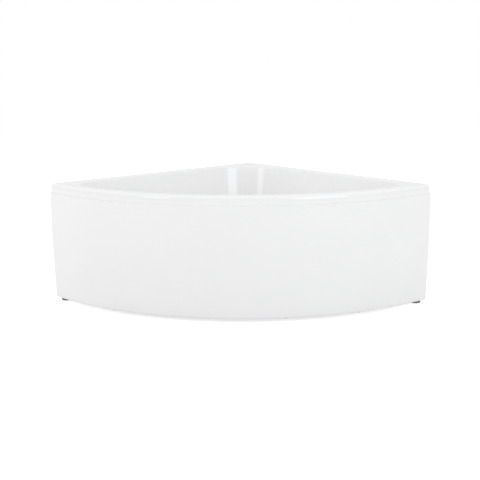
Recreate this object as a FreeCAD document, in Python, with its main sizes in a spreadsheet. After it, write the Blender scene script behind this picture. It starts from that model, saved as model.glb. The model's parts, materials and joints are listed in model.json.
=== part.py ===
import FreeCAD, Part
import math
import os

# Corner bathtub: a quadrant acrylic tub in a steel frame, with a removable bowed front panel,
# levelling feet and a pop-up waste and overflow. Millimetres, +Z up. The two walls of the room's
# corner are the planes x = +half the side and y = +half the side, and the floor is z = 0.

os.makedirs("parts", exist_ok=True)
doc = FreeCAD.newDocument("corner_bathtub")
Vector = FreeCAD.Vector
Rotation = FreeCAD.Rotation
Placement = FreeCAD.Placement

# Driving sizes. Angles are in degrees.
SIZES = {
    # outline
    "wall_side": 1000, "return_length": 100, "tub_height": 445,
    # acrylic shell
    "shell_wall": 5, "lip_height": 33, "lip_inset": 4.5, "lip_edge_round": 10,
    "rim_at_wall": 35, "rim_at_front": 54, "mouth_round": 8,
    "basin_depth": 295, "basin_draft": 9, "basin_back_round": 190, "basin_end_round": 130,
    "basin_foot_round": 60,
    # front panel
    "panel_top_gap": 0.3, "panel_ground_gap": 13, "panel_skin": 4, "panel_taper": 14, "panel_crown": 3,
    "panel_top_flange": 22, "panel_foot_flange": 10, "panel_end_flange": 25, "panel_edge_round": 3,
    "panel_corner_round": 12,
    # base board under the basin floor
    "board_thick": 15, "board_wall_gap": 140, "board_front_gap": 200, "board_corner_cut": 70,
    "board_drain_hole": 48,
    # steel frame
    "tube_size": 25, "tube_wall": 2, "frame_wall_gap": 25, "front_rail_gap": 48,
    "rim_tube": 20, "rim_tube_gap": 2.5, "cross_offset": 60,
    "frame_screw_radius": 2.5, "frame_screw_head": 6, "frame_screw_bite": 11, "frame_screw_first": 110,
    "frame_screw_step": 80,
    # levelling feet
    "front_foot_gap": 86, "stud_radius": 5, "pad_radius": 20, "pad_height": 10, "pad_sole": 4,
    "pad_bevel": 3, "nut_flats_radius": 9.2, "weld_nut_height": 10, "lock_nut_height": 6,
    "lock_nut_drop": 16, "stud_reach": 8,
    # wall brackets
    "bracket_width": 70, "bracket_leg": 40, "bracket_shelf": 28, "bracket_thick": 3,
    "bracket_offset": 210, "bracket_hole": 3, "bracket_hole_spacing": 40,
    # panel clips and brackets
    "clip_thick": 2, "clip_width": 30, "clip_set": 1, "clip_head_depth": 16, "clip_tip_gap": 5,
    "clip_bearing": 18, "panel_bracket_width": 30, "tab_tip_gap": 1, "tab_screw_gap": 1.5,
    "bracket_bearing": 30, "bracket_bearing_inner": 12, "panel_screw_radius": 2,
    # waste
    "drain_gap": 228, "drain_hole": 26, "drain_recess_radius": 40, "drain_recess_depth": 2.5,
    "flange_radius": 35, "flange_thick": 2.5, "flange_bore": 22, "flange_wall": 2, "flange_bevel": 2,
    "flange_edge": 1, "seal_thick": 1, "seal_inset": 1, "spoke_width": 3, "spoke_height": 4,
    "spoke_turn": 15, "hub_wall": 3, "hub_height": 10, "hub_drop": 3, "lower_seal_thick": 4,
    "waste_collar": 42, "collar_thick": 4, "waste_bowl_radius": 30, "waste_bowl_height": 39, "bowl_fall": 1,
    "waste_wall": 3, "tail_radius": 20, "tail_length": 20, "port_drop": 35, "port_reach": 48,
    "port_wall": 2, "port_grip": 14, "boss_wall": 2.5, "boss_inset": 4, "boss_start": 8,
    "gland_ahead": 16, "gland_outside": 9, "gland_drop": 16, "gland_length": 12, "gland_wall": 3,
    "wire_radius": 1,
    # plug and lever
    "plug_radius": 29, "plug_rim": 1.5, "plug_dome": 6, "plug_stem_radius": 3,
    "plug_seal_depth": 3, "plug_seal_taper": 2, "lever_arm": 18, "lever_shaft": 2.5,
    "lever_height": 17.5, "lever_half_swing": 13, "finger_width": 6, "finger_thick": 3, "finger_past": 2,
    "stem_rest": 0.9, "crank_width": 3, "crank_drop": 18,
    "running_gap": 0.05, "fit_gap": 0.3,
    # trap
    "trap_radius": 40, "trap_wall": 3, "trap_neck": 14, "trap_slope": 4, "trap_depth": 62,
    "trap_hollow_height": 30, "cap_height": 8, "cap_bevel": 3, "cap_plug": 5,
    "nut_wall": 8, "nut_length": 12, "nut_bevel": 3, "nut_overlap": 4,
    "outlet_drop": 38, "outlet_radius": 20, "outlet_length": 120, "outlet_wall": 2, "spigot_step": 0.5,
    "stub_reach": 62,
    # overflow
    "overflow_drop": 72, "overflow_seat": 38, "overflow_hole": 24, "overflow_lip": 2, "overflow_collar": 3,
    "overflow_seal_thick": 2, "overflow_bowl": 30, "overflow_depth": 30, "overflow_wall_inset": 4,
    "port_tail": 8, "overflow_post": 4, "overflow_screw": 1.5, "overflow_screw_head": 1.4,
    "overflow_screw_offset": 17, "overflow_screw_bite": 14, "socket_offset": 22, "socket_drop": 20,
    "socket_length": 14, "socket_wall": 2.5, "rosette_radius": 35, "rosette_thick": 4, "rosette_edge": 1.5,
    "rosette_bevel": 3, "rosette_bar_width": 9, "spindle_radius": 4, "spindle_depth": 20,
    "knob_radius": 27, "knob_thick": 5, "knob_gap": 3, "knob_grip_inset": 4, "knob_grip_width": 8,
    "knob_grip_height": 7,
    # hose and cable
    "hose_radius": 12.5, "hose_wall": 2, "hose_bend": 40, "hose_nut_half": 8, "hose_nut_wall": 4,
    "hose_nut_set": 12, "cable_radius": 2.5, "cable_turn_rise": 90, "cable_swing": 102, "cable_aside": 6,
    "cable_rise": 30, "cable_run": 60, "cable_bend_high": 120, "cable_bend_mid": 60, "cable_bend_low": 45,
    # how far a cutting tool starts outside what it cuts
    "tool_over": 1,
}

sizes = doc.addObject("Spreadsheet::Sheet", "sizes")
for row, (alias, value) in enumerate(SIZES.items(), start=1):
    sizes.set(f"A{row}", alias)
    sizes.set(f"B{row}", str(value))
    sizes.setAlias(f"B{row}", alias)
doc.recompute()


def num(expression):
    """The value of an expression, where each word is an alias of the sheet."""
    return float(sizes.evalExpression(bound(expression)))


def bound(expression):
    """The same expression as the document's objects write it."""
    text = str(expression)
    words = []
    word = ""
    for letter in text + " ":
        if letter.isalnum() or letter in "_.":
            word += letter
            continue
        words.append(f"sizes.{word}" if word in SIZES else word)
        words.append(letter)
        word = ""
    return "".join(words).strip()


# Places that several pieces share, as expressions of the sheet's sizes.
HALF = "wall_side / 2"
ARC = "(wall_side / 2 - return_length)"
PANEL_R = "(wall_side - return_length)"
LIP_R = f"({PANEL_R} - lip_inset)"
LIP_BOTTOM = "(tub_height - lip_height)"
DECK_UNDER = "(tub_height - shell_wall)"
FLOOR_TOP = "(tub_height - basin_depth)"
FLOOR_UNDER = f"({FLOOR_TOP} - shell_wall)"
BOARD_UNDER = f"({FLOOR_UNDER} - board_thick)"
RAIL_UNDER = f"({BOARD_UNDER} - tube_size)"
FRAME_LINE = f"({HALF} - frame_wall_gap)"
FRONT_RAIL_R = f"({PANEL_R} - front_rail_gap)"
RIM_RAIL_R = f"({FRONT_RAIL_R} + tube_size / 2 + rim_tube / 2)"
PANEL_TOP = f"({LIP_BOTTOM} - panel_top_gap)"

arc_centre = num(ARC)
half = num(HALF)
DIAGONAL = math.sqrt(0.5)
LEAN = math.radians(num("basin_draft"))
TOWARDS_FRONT = Vector(-DIAGONAL, -DIAGONAL, 0)
ALONG_WIDTH = Vector(DIAGONAL, -DIAGONAL, 0)
ALONG_X = Vector(1, 0, 0)
ALONG_Y = Vector(0, 1, 0)
UP = Vector(0, 0, 1)
TOLERANCE = 1e-3
over = num("tool_over")


def on_diagonal(reach, width, height):
    """A point by its distance from the front arc's centre towards the front, its offset and height."""
    centre = Vector(arc_centre, arc_centre, height)
    return centre + TOWARDS_FRONT * reach + ALONG_WIDTH * width


# ---- helpers for the document's objects -------------------------------------------------------

def new_body(label):
    body = doc.addObject("PartDesign::Body", label)
    body.Label = label
    return body


def plane_of(body, role):
    return next(f for f in body.Origin.OriginFeatures if f.Role == role)


def new_sketch(body, name, role, offset="0"):
    sketch = body.newObject("Sketcher::SketchObject", name)
    sketch.AttachmentSupport = (plane_of(body, role), [""])
    sketch.MapMode = "FlatFace"
    sketch.setExpression("AttachmentOffset.Base.z", bound(offset))
    doc.recompute()
    return sketch


def flat(point):
    return Vector(point[0], point[1], 0)


def arc_mid(centre, radius, start, end):
    """The point of an arc halfway between its ends."""
    middle = (flat(start) + flat(end)) * 0.5 - flat(centre)
    return flat(centre) + middle.normalize() * radius


def polygon(points):
    """Line segments through the points, closed."""
    return [Part.LineSegment(flat(a), flat(b)) for a, b in zip(points, points[1:] + points[:1])]


def pad(body, name, sketch, length, reversed_way=False, taper=None):
    feature = body.newObject("PartDesign::Pad", name)
    feature.Profile = sketch
    feature.setExpression("Length", bound(length))
    feature.Reversed = reversed_way
    if taper:
        feature.setExpression("TaperAngle", bound(taper))
    doc.recompute()
    return feature


def pocket(body, name, sketch, length, reversed_way=False, taper=None):
    before = body.Shape.Volume
    feature = body.newObject("PartDesign::Pocket", name)
    feature.Profile = sketch
    feature.setExpression("Length", bound(length))
    feature.Reversed = reversed_way
    if taper:
        feature.setExpression("TaperAngle", bound(taper))
    doc.recompute()
    if not feature.Shape.Volume < before:
        raise ValueError(f"{name} cuts nothing")
    return feature


def edges_at(feature, test):
    found = [f"Edge{i}" for i, edge in enumerate(feature.Shape.Edges, start=1) if test(edge)]
    if not found:
        raise ValueError(f"{feature.Label} has no such edge")
    return found


def edges_at_height(feature, height, extra=lambda edge: True):
    def test(edge):
        return all(abs(v.Z - height) < TOLERANCE for v in edge.Vertexes) and extra(edge)
    return edges_at(feature, test)


def fillet(body, name, base, edges, radius):
    feature = body.newObject("PartDesign::Fillet", name)
    feature.Base = (base, edges)
    feature.setExpression("Radius", bound(radius))
    doc.recompute()
    return feature


def cylinder_in(body, name, radius, height, at=Vector(), axis=UP, cut=False):
    """An additive or subtractive cylinder of a body, from its lower centre along its axis."""
    kind = "PartDesign::SubtractiveCylinder" if cut else "PartDesign::AdditiveCylinder"
    before = body.Shape.Volume if cut else 0
    feature = body.newObject(kind, name)
    feature.Placement = Placement(at, Rotation(UP, axis))
    feature.setExpression("Radius", bound(radius))
    feature.setExpression("Height", bound(height))
    doc.recompute()
    if cut and not feature.Shape.Volume < before:
        raise ValueError(f"{name} cuts nothing")
    return feature


def box_in(body, name, length, width, height, at, rotation=None, cut=False):
    kind = "PartDesign::SubtractiveBox" if cut else "PartDesign::AdditiveBox"
    before = body.Shape.Volume if cut else 0
    feature = body.newObject(kind, name)
    feature.Placement = Placement(at, rotation or Rotation())
    feature.setExpression("Length", bound(length))
    feature.setExpression("Width", bound(width))
    feature.setExpression("Height", bound(height))
    doc.recompute()
    if cut and not feature.Shape.Volume < before:
        raise ValueError(f"{name} cuts nothing")
    return feature


def turned(label, profile, placement=None):
    """A body turned about its own Z axis from a closed (radius, height) profile of expressions."""
    body = new_body(label)
    sketch = new_sketch(body, f"{label}_profile", "XZ_Plane")
    points = [(num(r), num(z)) for r, z in profile]
    sketch.addGeometry(polygon(points), False)
    feature = body.newObject("PartDesign::Revolution", f"{label}_turn")
    feature.Profile = sketch
    feature.ReferenceAxis = (sketch, ["V_Axis"])
    feature.Angle = 360
    doc.recompute()
    if placement:
        body.Placement = placement
    return body


def tube_box(label, length, corner, along, size="tube_size"):
    """A square steel tube from its lowest corner along X, Y or Z."""
    outer = doc.addObject("Part::Box", f"{label}_outer")
    inner = doc.addObject("Part::Box", f"{label}_inner")
    names = {"x": "Length", "y": "Width", "z": "Height"}
    for axis, side in names.items():
        if axis == along:
            outer.setExpression(side, bound(length))
            inner.setExpression(side, bound(length))
        else:
            outer.setExpression(side, bound(size))
            inner.setExpression(side, bound(f"{size} - 2 * tube_wall"))
    wall = num("tube_wall")
    inner.Placement.Base = Vector(*(0 if axis == along else wall for axis in "xyz"))
    tube = doc.addObject("Part::Cut", label)
    tube.Base = outer
    tube.Tool = inner
    tube.Label = label
    tube.Placement.Base = corner
    doc.recompute()
    return tube


def cylinder(name, radius, height, at, axis=UP):
    thing = doc.addObject("Part::Cylinder", name)
    thing.setExpression("Radius", bound(radius))
    thing.setExpression("Height", bound(height))
    thing.Placement = Placement(at, Rotation(UP, axis))
    return thing


def box(name, length, width, height, at, rotation=None):
    thing = doc.addObject("Part::Box", name)
    thing.setExpression("Length", bound(length))
    thing.setExpression("Width", bound(width))
    thing.setExpression("Height", bound(height))
    thing.Placement = Placement(at, rotation or Rotation())
    return thing


def cut(label, base, tools):
    """base with each tool taken out of it."""
    result = base
    for number, tool in enumerate(tools, start=1):
        step = doc.addObject("Part::Cut", f"{label}_cut_{number}")
        step.Base = result
        step.Tool = tool
        doc.recompute()
        if not step.Shape.Volume < result.Shape.Volume:
            raise ValueError(f"{tool.Label} cuts nothing from {label}")
        result = step
    if result is not base:
        base.Label = f"{label}_blank"
    result.Label = label
    return result


def fuse(label, things):
    joined = doc.addObject("Part::MultiFuse", label)
    joined.Shapes = things
    joined.Refine = True
    joined.Label = label
    doc.recompute()
    return joined


def group(label, things):
    """Equal fasteners as separate solids of one node."""
    together = doc.addObject("Part::Compound", label)
    together.Links = things
    together.Label = label
    doc.recompute()
    return together


pieces = []


def keep(piece):
    pieces.append(piece)
    return piece


def bent_bar(body, name, radius, reach, profile, inner_profile):
    """A hollow section of (outward, height) points swept along return, front arc and return."""
    spine = new_sketch(body, f"{name}_line", "XY_Plane")
    c, r, end = arc_centre, num(radius), num(reach)
    middle = (c - r * DIAGONAL, c - r * DIAGONAL)
    spine.addGeometry([
        Part.LineSegment(flat((end, c - r)), flat((c, c - r))),
        Part.Arc(flat((c, c - r)), flat(middle), flat((c - r, c))),
        Part.LineSegment(flat((c - r, c)), flat((c - r, end))),
    ], False)
    section = new_sketch(body, f"{name}_section", "YZ_Plane", reach)
    for loop in (profile, inner_profile):
        points = [(c - r - num(out), num(z)) for out, z in loop]
        section.addGeometry(polygon(points), False)
    pipe = body.newObject("PartDesign::AdditivePipe", name)
    pipe.Profile = section
    pipe.Spine = spine
    doc.recompute()
    return pipe


def square_section(size, low, inset="0"):
    """Corner points of a square section of that size from its lower height, less an inset."""
    out = f"({size} / 2 - {inset})"
    back = f"(-{size} / 2 + {inset})"
    bottom = f"({low} + {inset})"
    top = f"({low} + {size} - {inset})"
    return [(out, bottom), (out, top), (back, top), (back, bottom)]


# ---- the acrylic shell ------------------------------------------------------------------------

def quadrant(radius, wall):
    """Sharp-cornered quadrant outline: two walls, their returns and the front arc."""
    c = arc_centre
    r = num(radius)
    w = num(wall)
    low = c - r
    middle = (c - r * DIAGONAL, c - r * DIAGONAL)
    return [
        Part.LineSegment(flat((w, w)), flat((w, low))),
        Part.LineSegment(flat((w, low)), flat((c, low))),
        Part.Arc(flat((c, low)), flat(middle), flat((low, c))),
        Part.LineSegment(flat((low, c)), flat((low, w))),
        Part.LineSegment(flat((low, w)), flat((w, w))),
    ]


def basin_outline(grow):
    """Rounded basin mouth, grown outwards by a wall: two walls, back round, end rounds, front arc."""
    c = arc_centre
    edge = num(f"{HALF} - rim_at_wall + {grow}")
    front = num(f"{PANEL_R} - rim_at_front + {grow}")
    back = num(f"basin_back_round + {grow}")
    end = num(f"basin_end_round + {grow}")
    end_x = edge - end
    end_y = c - math.sqrt((front - end) ** 2 - (end_x - c) ** 2)
    meet_x = c + (end_x - c) * front / (front - end)
    meet_y = c + (end_y - c) * front / (front - end)
    back_c = edge - back
    wall_low, wall_high = (edge, end_y), (edge, back_c)
    side_high, side_low = (back_c, edge), (end_y, edge)
    left, right = (meet_y, meet_x), (meet_x, meet_y)
    apex = (c - front * DIAGONAL, c - front * DIAGONAL)
    return [
        Part.LineSegment(flat(wall_low), flat(wall_high)),
        Part.Arc(flat(wall_high), arc_mid((back_c, back_c), back, wall_high, side_high), flat(side_high)),
        Part.LineSegment(flat(side_high), flat(side_low)),
        Part.Arc(flat(side_low), arc_mid((end_y, end_x), end, side_low, left), flat(left)),
        Part.Arc(flat(left), flat(apex), flat(right)),
        Part.Arc(flat(right), arc_mid((end_x, end_y), end, right, wall_low), flat(wall_low)),
    ]


drain_centre = on_diagonal(num(f"{PANEL_R} - drain_gap"), 0, 0)

# The overflow's own frame: X along the width, Y up along the basin's wall, Z into the basin.
overflow_height = num("tub_height - overflow_drop")
wall_reach = num(f"{PANEL_R} - rim_at_front") - num("overflow_drop") * math.tan(LEAN)
into_basin = TOWARDS_FRONT * -math.cos(LEAN) + UP * math.sin(LEAN)
seat_sink = num("overflow_seat ^ 2 / (2 * (wall_side - return_length - rim_at_front))")
seat_centre = on_diagonal(wall_reach, 0, overflow_height) - into_basin * seat_sink
overflow_turn = Rotation(ALONG_WIDTH * -1, into_basin.cross(ALONG_WIDTH * -1), into_basin, "ZXY")
overflow_frame = Placement(seat_centre, overflow_turn)


def in_overflow(x, y, z):
    return overflow_frame.multVec(Vector(x, y, z))


tub = keep(new_body("tub_shell"))
rim_sketch = new_sketch(tub, "rim_outline", "XY_Plane", LIP_BOTTOM)
rim_sketch.addGeometry(quadrant(LIP_R, HALF), False)
pad(tub, "rim_block", rim_sketch, "lip_height")
under_sketch = new_sketch(tub, "rim_underside", "XY_Plane", LIP_BOTTOM)
under_sketch.addGeometry(quadrant(f"{LIP_R} - shell_wall", f"{HALF} - shell_wall"), False)
pocket(tub, "rim_hollow", under_sketch, "lip_height - shell_wall", reversed_way=True)
outer_sketch = new_sketch(tub, "basin_outside", "XY_Plane", "tub_height")
outer_sketch.addGeometry(basin_outline("shell_wall"), False)
pad(tub, "basin_block", outer_sketch, "basin_depth + shell_wall", True, "-basin_draft")
cylinder_in(tub, "overflow_boss", "overflow_seat", "shell_wall", in_overflow(0, 0, -num("shell_wall")),
            into_basin)
inner_sketch = new_sketch(tub, "basin_inside", "XY_Plane", "tub_height")
inner_sketch.addGeometry(basin_outline("0"), False)
basin_in = pocket(tub, "basin_hollow", inner_sketch, "basin_depth", False, "-basin_draft")


def basin_floor_edge(edge):
    return edge.BoundBox.XMax < num(f"{HALF} - rim_at_wall")


foot_in = fillet(tub, "basin_inner_foot", basin_in,
                 edges_at_height(basin_in, num(FLOOR_TOP), basin_floor_edge), "basin_foot_round")
fillet(tub, "basin_outer_foot", foot_in, edges_at_height(foot_in, num(FLOOR_UNDER)),
       "basin_foot_round + shell_wall")
cylinder_in(tub, "overflow_seat_face", "overflow_seat", "basin_foot_round", seat_centre, into_basin, True)
cylinder_in(tub, "overflow_opening", "overflow_hole", "4 * shell_wall",
            in_overflow(0, 0, -num("2 * shell_wall")), into_basin, True)
recess_at = drain_centre + UP * num(f"{FLOOR_TOP} - drain_recess_depth")
cylinder_in(tub, "drain_recess", "drain_recess_radius", "2 * drain_recess_depth", recess_at, cut=True)
opening = cylinder_in(tub, "drain_opening", "drain_hole", "4 * shell_wall",
                      drain_centre + UP * num(f"{FLOOR_TOP} - 2 * shell_wall"), cut=True)


def mouth_edge(edge):
    reach = edge.BoundBox
    highest = num(f"{HALF} - rim_at_wall / 2")
    lowest = num(f"{ARC} - {PANEL_R} + rim_at_front / 2")
    return max(reach.XMax, reach.YMax) < highest and min(reach.XMin, reach.YMin) > lowest


def front_top_edge(edge):
    middle = edge.valueAt((edge.FirstParameter + edge.LastParameter) / 2)
    return not mouth_edge(edge) and max(middle.x, middle.y) < half - TOLERANCE


mouth = fillet(tub, "mouth_edge", opening, edges_at_height(opening, num("tub_height"), mouth_edge),
               "mouth_round")
fillet(tub, "lip_edge", mouth, edges_at_height(mouth, num("tub_height"), front_top_edge), "lip_edge_round")

# ---- the front panel --------------------------------------------------------------------------

panel = keep(new_body("front_panel"))
panel_line = new_sketch(panel, "panel_line", "XY_Plane")
panel_line.addGeometry(quadrant(PANEL_R, HALF)[1:4], False)
panel_section = new_sketch(panel, "panel_section", "YZ_Plane", HALF)
front = num(f"{ARC} - {PANEL_R}")
top = num(PANEL_TOP)
ground = num("panel_ground_gap")
taper = num("panel_taper")
skin = num("panel_skin")
crown = num("panel_crown")
top_in = front + num("panel_top_flange")
foot_in_y = front + taper + num("panel_foot_flange")
outer_low, outer_high = (front + taper, ground), (front, top)
inner_low, inner_high = (front + taper + skin, ground + skin), (front + skin, top - skin)
outer_mid = ((outer_low[0] + outer_high[0]) / 2 - crown, (outer_low[1] + outer_high[1]) / 2)
inner_mid = ((inner_low[0] + inner_high[0]) / 2 - crown, (inner_low[1] + inner_high[1]) / 2)
panel_section.addGeometry([
    Part.Arc(flat(outer_low), flat(outer_mid), flat(outer_high)),
    Part.LineSegment(flat(outer_high), flat((top_in, top))),
    Part.LineSegment(flat((top_in, top)), flat((top_in, top - skin))),
    Part.LineSegment(flat((top_in, top - skin)), flat(inner_high)),
    Part.Arc(flat(inner_high), flat(inner_mid), flat(inner_low)),
    Part.LineSegment(flat(inner_low), flat((foot_in_y, ground + skin))),
    Part.LineSegment(flat((foot_in_y, ground + skin)), flat((foot_in_y, ground))),
    Part.LineSegment(flat((foot_in_y, ground)), flat(outer_low)),
], False)
panel_sweep = panel.newObject("PartDesign::AdditivePipe", "panel_sweep")
panel_sweep.Profile = panel_section
panel_sweep.Spine = panel_line
doc.recompute()


def end_flange(name, role, offset, reversed_way):
    """The upright flange that closes the panel's section at a wall."""
    sketch = new_sketch(panel, f"{name}_outline", role, offset)
    deep = front + num("panel_end_flange")
    sketch.addGeometry([
        Part.Arc(flat(outer_low), flat(outer_mid), flat(outer_high)),
        Part.LineSegment(flat(outer_high), flat((deep, top))),
        Part.LineSegment(flat((deep, top)), flat((deep, ground))),
        Part.LineSegment(flat((deep, ground)), flat(outer_low)),
    ], False)
    return pad(panel, name, sketch, "panel_skin", reversed_way)


end_flange("right_end_flange", "YZ_Plane", HALF, True)
closed = end_flange("left_end_flange", "XZ_Plane", f"-({HALF})", False)


def on_wall(point):
    return abs(max(point.x, point.y) - half) < TOLERANCE


def end_corner_edge(edge):
    """The lower edge of an end flange, across the wall."""
    low = all(abs(v.Z - ground) < TOLERANCE and on_wall(v.Point) for v in edge.Vertexes)
    return low and edge.Length > num("panel_end_flange") / 3


def top_outer_edge(edge):
    """The panel's outer top edge along the returns and the arc."""
    reach = edge.valueAt((edge.FirstParameter + edge.LastParameter) / 2)
    radius = math.hypot(min(reach.x - arc_centre, 0), min(reach.y - arc_centre, 0))
    level = all(abs(v.Z - top) < TOLERANCE for v in edge.Vertexes)
    return level and abs(radius - num(PANEL_R)) < 10 * TOLERANCE


cornered = fillet(panel, "end_corners", closed, edges_at(closed, end_corner_edge), "panel_corner_round")
fillet(panel, "top_edge", cornered, edges_at(cornered, top_outer_edge), "panel_edge_round")

# ---- base board -------------------------------------------------------------------------------

board = keep(new_body("base_board"))
board_sketch = new_sketch(board, "board_outline", "XY_Plane", BOARD_UNDER)
b_edge = num(f"{HALF} - board_wall_gap")
b_front = num(f"{PANEL_R} - board_front_gap")
b_cut = num("board_corner_cut")
b_low = arc_centre - math.sqrt(b_front ** 2 - (b_edge - b_cut - arc_centre) ** 2)
b_apex = (arc_centre - b_front * DIAGONAL, arc_centre - b_front * DIAGONAL)
b_points = [(b_low, b_edge - b_cut), (b_low + b_cut, b_edge), (b_edge - b_cut, b_edge),
            (b_edge, b_edge - b_cut), (b_edge, b_low + b_cut), (b_edge - b_cut, b_low)]
board_sketch.addGeometry(polygon(b_points)[:-1], False)
board_sketch.addGeometry(Part.Arc(flat(b_points[-1]), flat(b_apex), flat(b_points[0])), False)
pad(board, "board_sheet", board_sketch, "board_thick")
cylinder_in(board, "board_opening", "board_drain_hole", "2 * board_thick",
            drain_centre + UP * num(f"{BOARD_UNDER} - board_thick / 2"), cut=True)

# ---- steel frame ------------------------------------------------------------------------------

tube = num("tube_size")
line = num(FRAME_LINE)
rail_z = num(RAIL_UNDER)
front_line = num(f"{ARC} - {FRONT_RAIL_R}")
cross = num("cross_offset")


def beam_reach(radius):
    """Where a cross beam's centre line is that far from the front arc's centre."""
    return arc_centre - math.sqrt(radius ** 2 - (cross - arc_centre) ** 2)


# The two front feet stand under the cross beams, so far in that the panel hides them.
front_foot = beam_reach(num(f"{PANEL_R} - front_foot_gap"))
foot_points = {
    "back": Vector(line, line, 0),
    "right": Vector(line, front_line, 0),
    "left": Vector(front_line, line, 0),
    "front_left": Vector(front_foot, cross, 0),
    "front_right": Vector(cross, front_foot, 0),
}


def stud_holes(label, names):
    """Tools for the clearance holes of the levelling studs through a tube's lower wall."""
    tools = []
    for name in names:
        at = foot_points[name] + UP * (rail_z - tube / 2)
        tools.append(cylinder(f"{label}_hole_{name}", "stud_radius + fit_gap", "tube_size", at))
    return tools


rail_length = f"({FRAME_LINE} - {ARC} + {FRONT_RAIL_R})"
right_rail = tube_box("right_rail_tube", rail_length,
                      Vector(line - tube / 2, front_line - tube / 2, rail_z), "y")
keep(cut("right_rail", right_rail, stud_holes("right_rail", ["right"])))
left_rail = tube_box("left_rail_tube", f"{rail_length} + tube_size",
                     Vector(front_line - tube / 2, line - tube / 2, rail_z), "x")
keep(cut("left_rail", left_rail, stud_holes("left_rail", ["left", "back"])))

front_rail = keep(new_body("front_rail"))
bent_bar(front_rail, "front_rail_bend", FRONT_RAIL_R, f"{FRAME_LINE} - tube_size / 2",
         square_section("tube_size", RAIL_UNDER), square_section("tube_size", RAIL_UNDER, "tube_wall"))

# Screws up through the cross beams into the base board, by the beam that each one goes through.
near, step = num("frame_screw_first"), num("frame_screw_step")
screw_places = {
    "cross_beam_long": [(cross + near + step * k, cross) for k in range(3)] + [(cross - near, cross)],
    "cross_beam_back": [(cross, cross + near + step * k) for k in range(3)],
    "cross_beam_front": [(cross, cross - near)],
}


def screw_holes(label):
    """Tools for the clearance holes of a beam's frame screws, through both of its walls."""
    return [cylinder(f"{label}_screw_hole_{k}", "frame_screw_radius + fit_gap", "tube_size + 2 * tool_over",
                     Vector(x, y, rail_z - over)) for k, (x, y) in enumerate(screw_places[label], start=1)]


frame_screws = []
for number, (x, y) in enumerate(sum(screw_places.values(), []), start=1):
    foot = Vector(x, y, rail_z)
    head = cylinder(f"frame_screw_head_{number}", "frame_screw_head", "frame_screw_radius",
                    foot - UP * num("frame_screw_radius"))
    shank = cylinder(f"frame_screw_shank_{number}", "frame_screw_radius",
                     "tube_size + frame_screw_bite", foot)
    frame_screws.append(fuse(f"frame_screw_{number}", [head, shank]))
    cylinder_in(board, f"board_pilot_{number}", "frame_screw_radius", "frame_screw_bite + tool_over",
                foot + UP * (tube - over), cut=True)
keep(group("frame_screws", frame_screws))

# The beams that end at the front rail are cut to its inner face.
beam_start = beam_reach(num(f"{FRONT_RAIL_R} - tube_size / 2")) - tube
front_disc = cylinder("front_rail_sweep", f"{FRONT_RAIL_R} - tube_size / 2", "3 * tube_size",
                      Vector(arc_centre, arc_centre, rail_z - tube))


def cut_to_rail(label, stock):
    shape = doc.addObject("Part::Common", f"{label}_shape")
    shape.Base = stock
    shape.Tool = front_disc
    doc.recompute()
    return shape


long_stock = tube_box("long_beam_stock", f"{line - tube / 2 - beam_start}",
                      Vector(beam_start, cross - tube / 2, rail_z), "x")
keep(cut("cross_beam_long", cut_to_rail("cross_beam_long", long_stock),
         stud_holes("cross_beam_long", ["front_left"]) + screw_holes("cross_beam_long")))
back_beam = tube_box("back_beam_stock", f"{FRAME_LINE} - cross_offset - tube_size",
                     Vector(cross - tube / 2, cross + tube / 2, rail_z), "y")
keep(cut("cross_beam_back", back_beam, screw_holes("cross_beam_back")))
front_stock = tube_box("front_beam_stock", f"{cross - tube / 2 - beam_start}",
                       Vector(cross - tube / 2, beam_start, rail_z), "y")
keep(cut("cross_beam_front", cut_to_rail("cross_beam_front", front_stock),
         stud_holes("cross_beam_front", ["front_right"]) + screw_holes("cross_beam_front")))

post_foot = rail_z + tube
post_height = f"({DECK_UNDER} - {BOARD_UNDER})"
for name in ("back", "right", "left"):
    corner = foot_points[name] + Vector(-tube / 2, -tube / 2, post_foot)
    keep(tube_box(f"post_{name}", post_height, corner, "z"))

upper_rail = keep(new_body("upper_front_rail"))
bent_bar(upper_rail, "upper_rail_bend", RIM_RAIL_R, f"{FRAME_LINE} + tube_size / 2",
         square_section("rim_tube", f"{DECK_UNDER} - rim_tube"),
         square_section("rim_tube", f"{DECK_UNDER} - rim_tube", "tube_wall"))

rim_z = num(f"{DECK_UNDER} - rim_tube")
rim_face = num(f"{HALF} - rim_at_wall + shell_wall + rim_tube_gap")
rim_length = f"({FRAME_LINE} - {ARC} + {FRONT_RAIL_R} - tube_size)"
keep(tube_box("rim_rail_right", rim_length, Vector(rim_face, front_line + tube / 2, rim_z), "y", "rim_tube"))
keep(tube_box("rim_rail_left", rim_length, Vector(front_line + tube / 2, rim_face, rim_z), "x", "rim_tube"))

# ---- levelling feet ---------------------------------------------------------------------------

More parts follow.
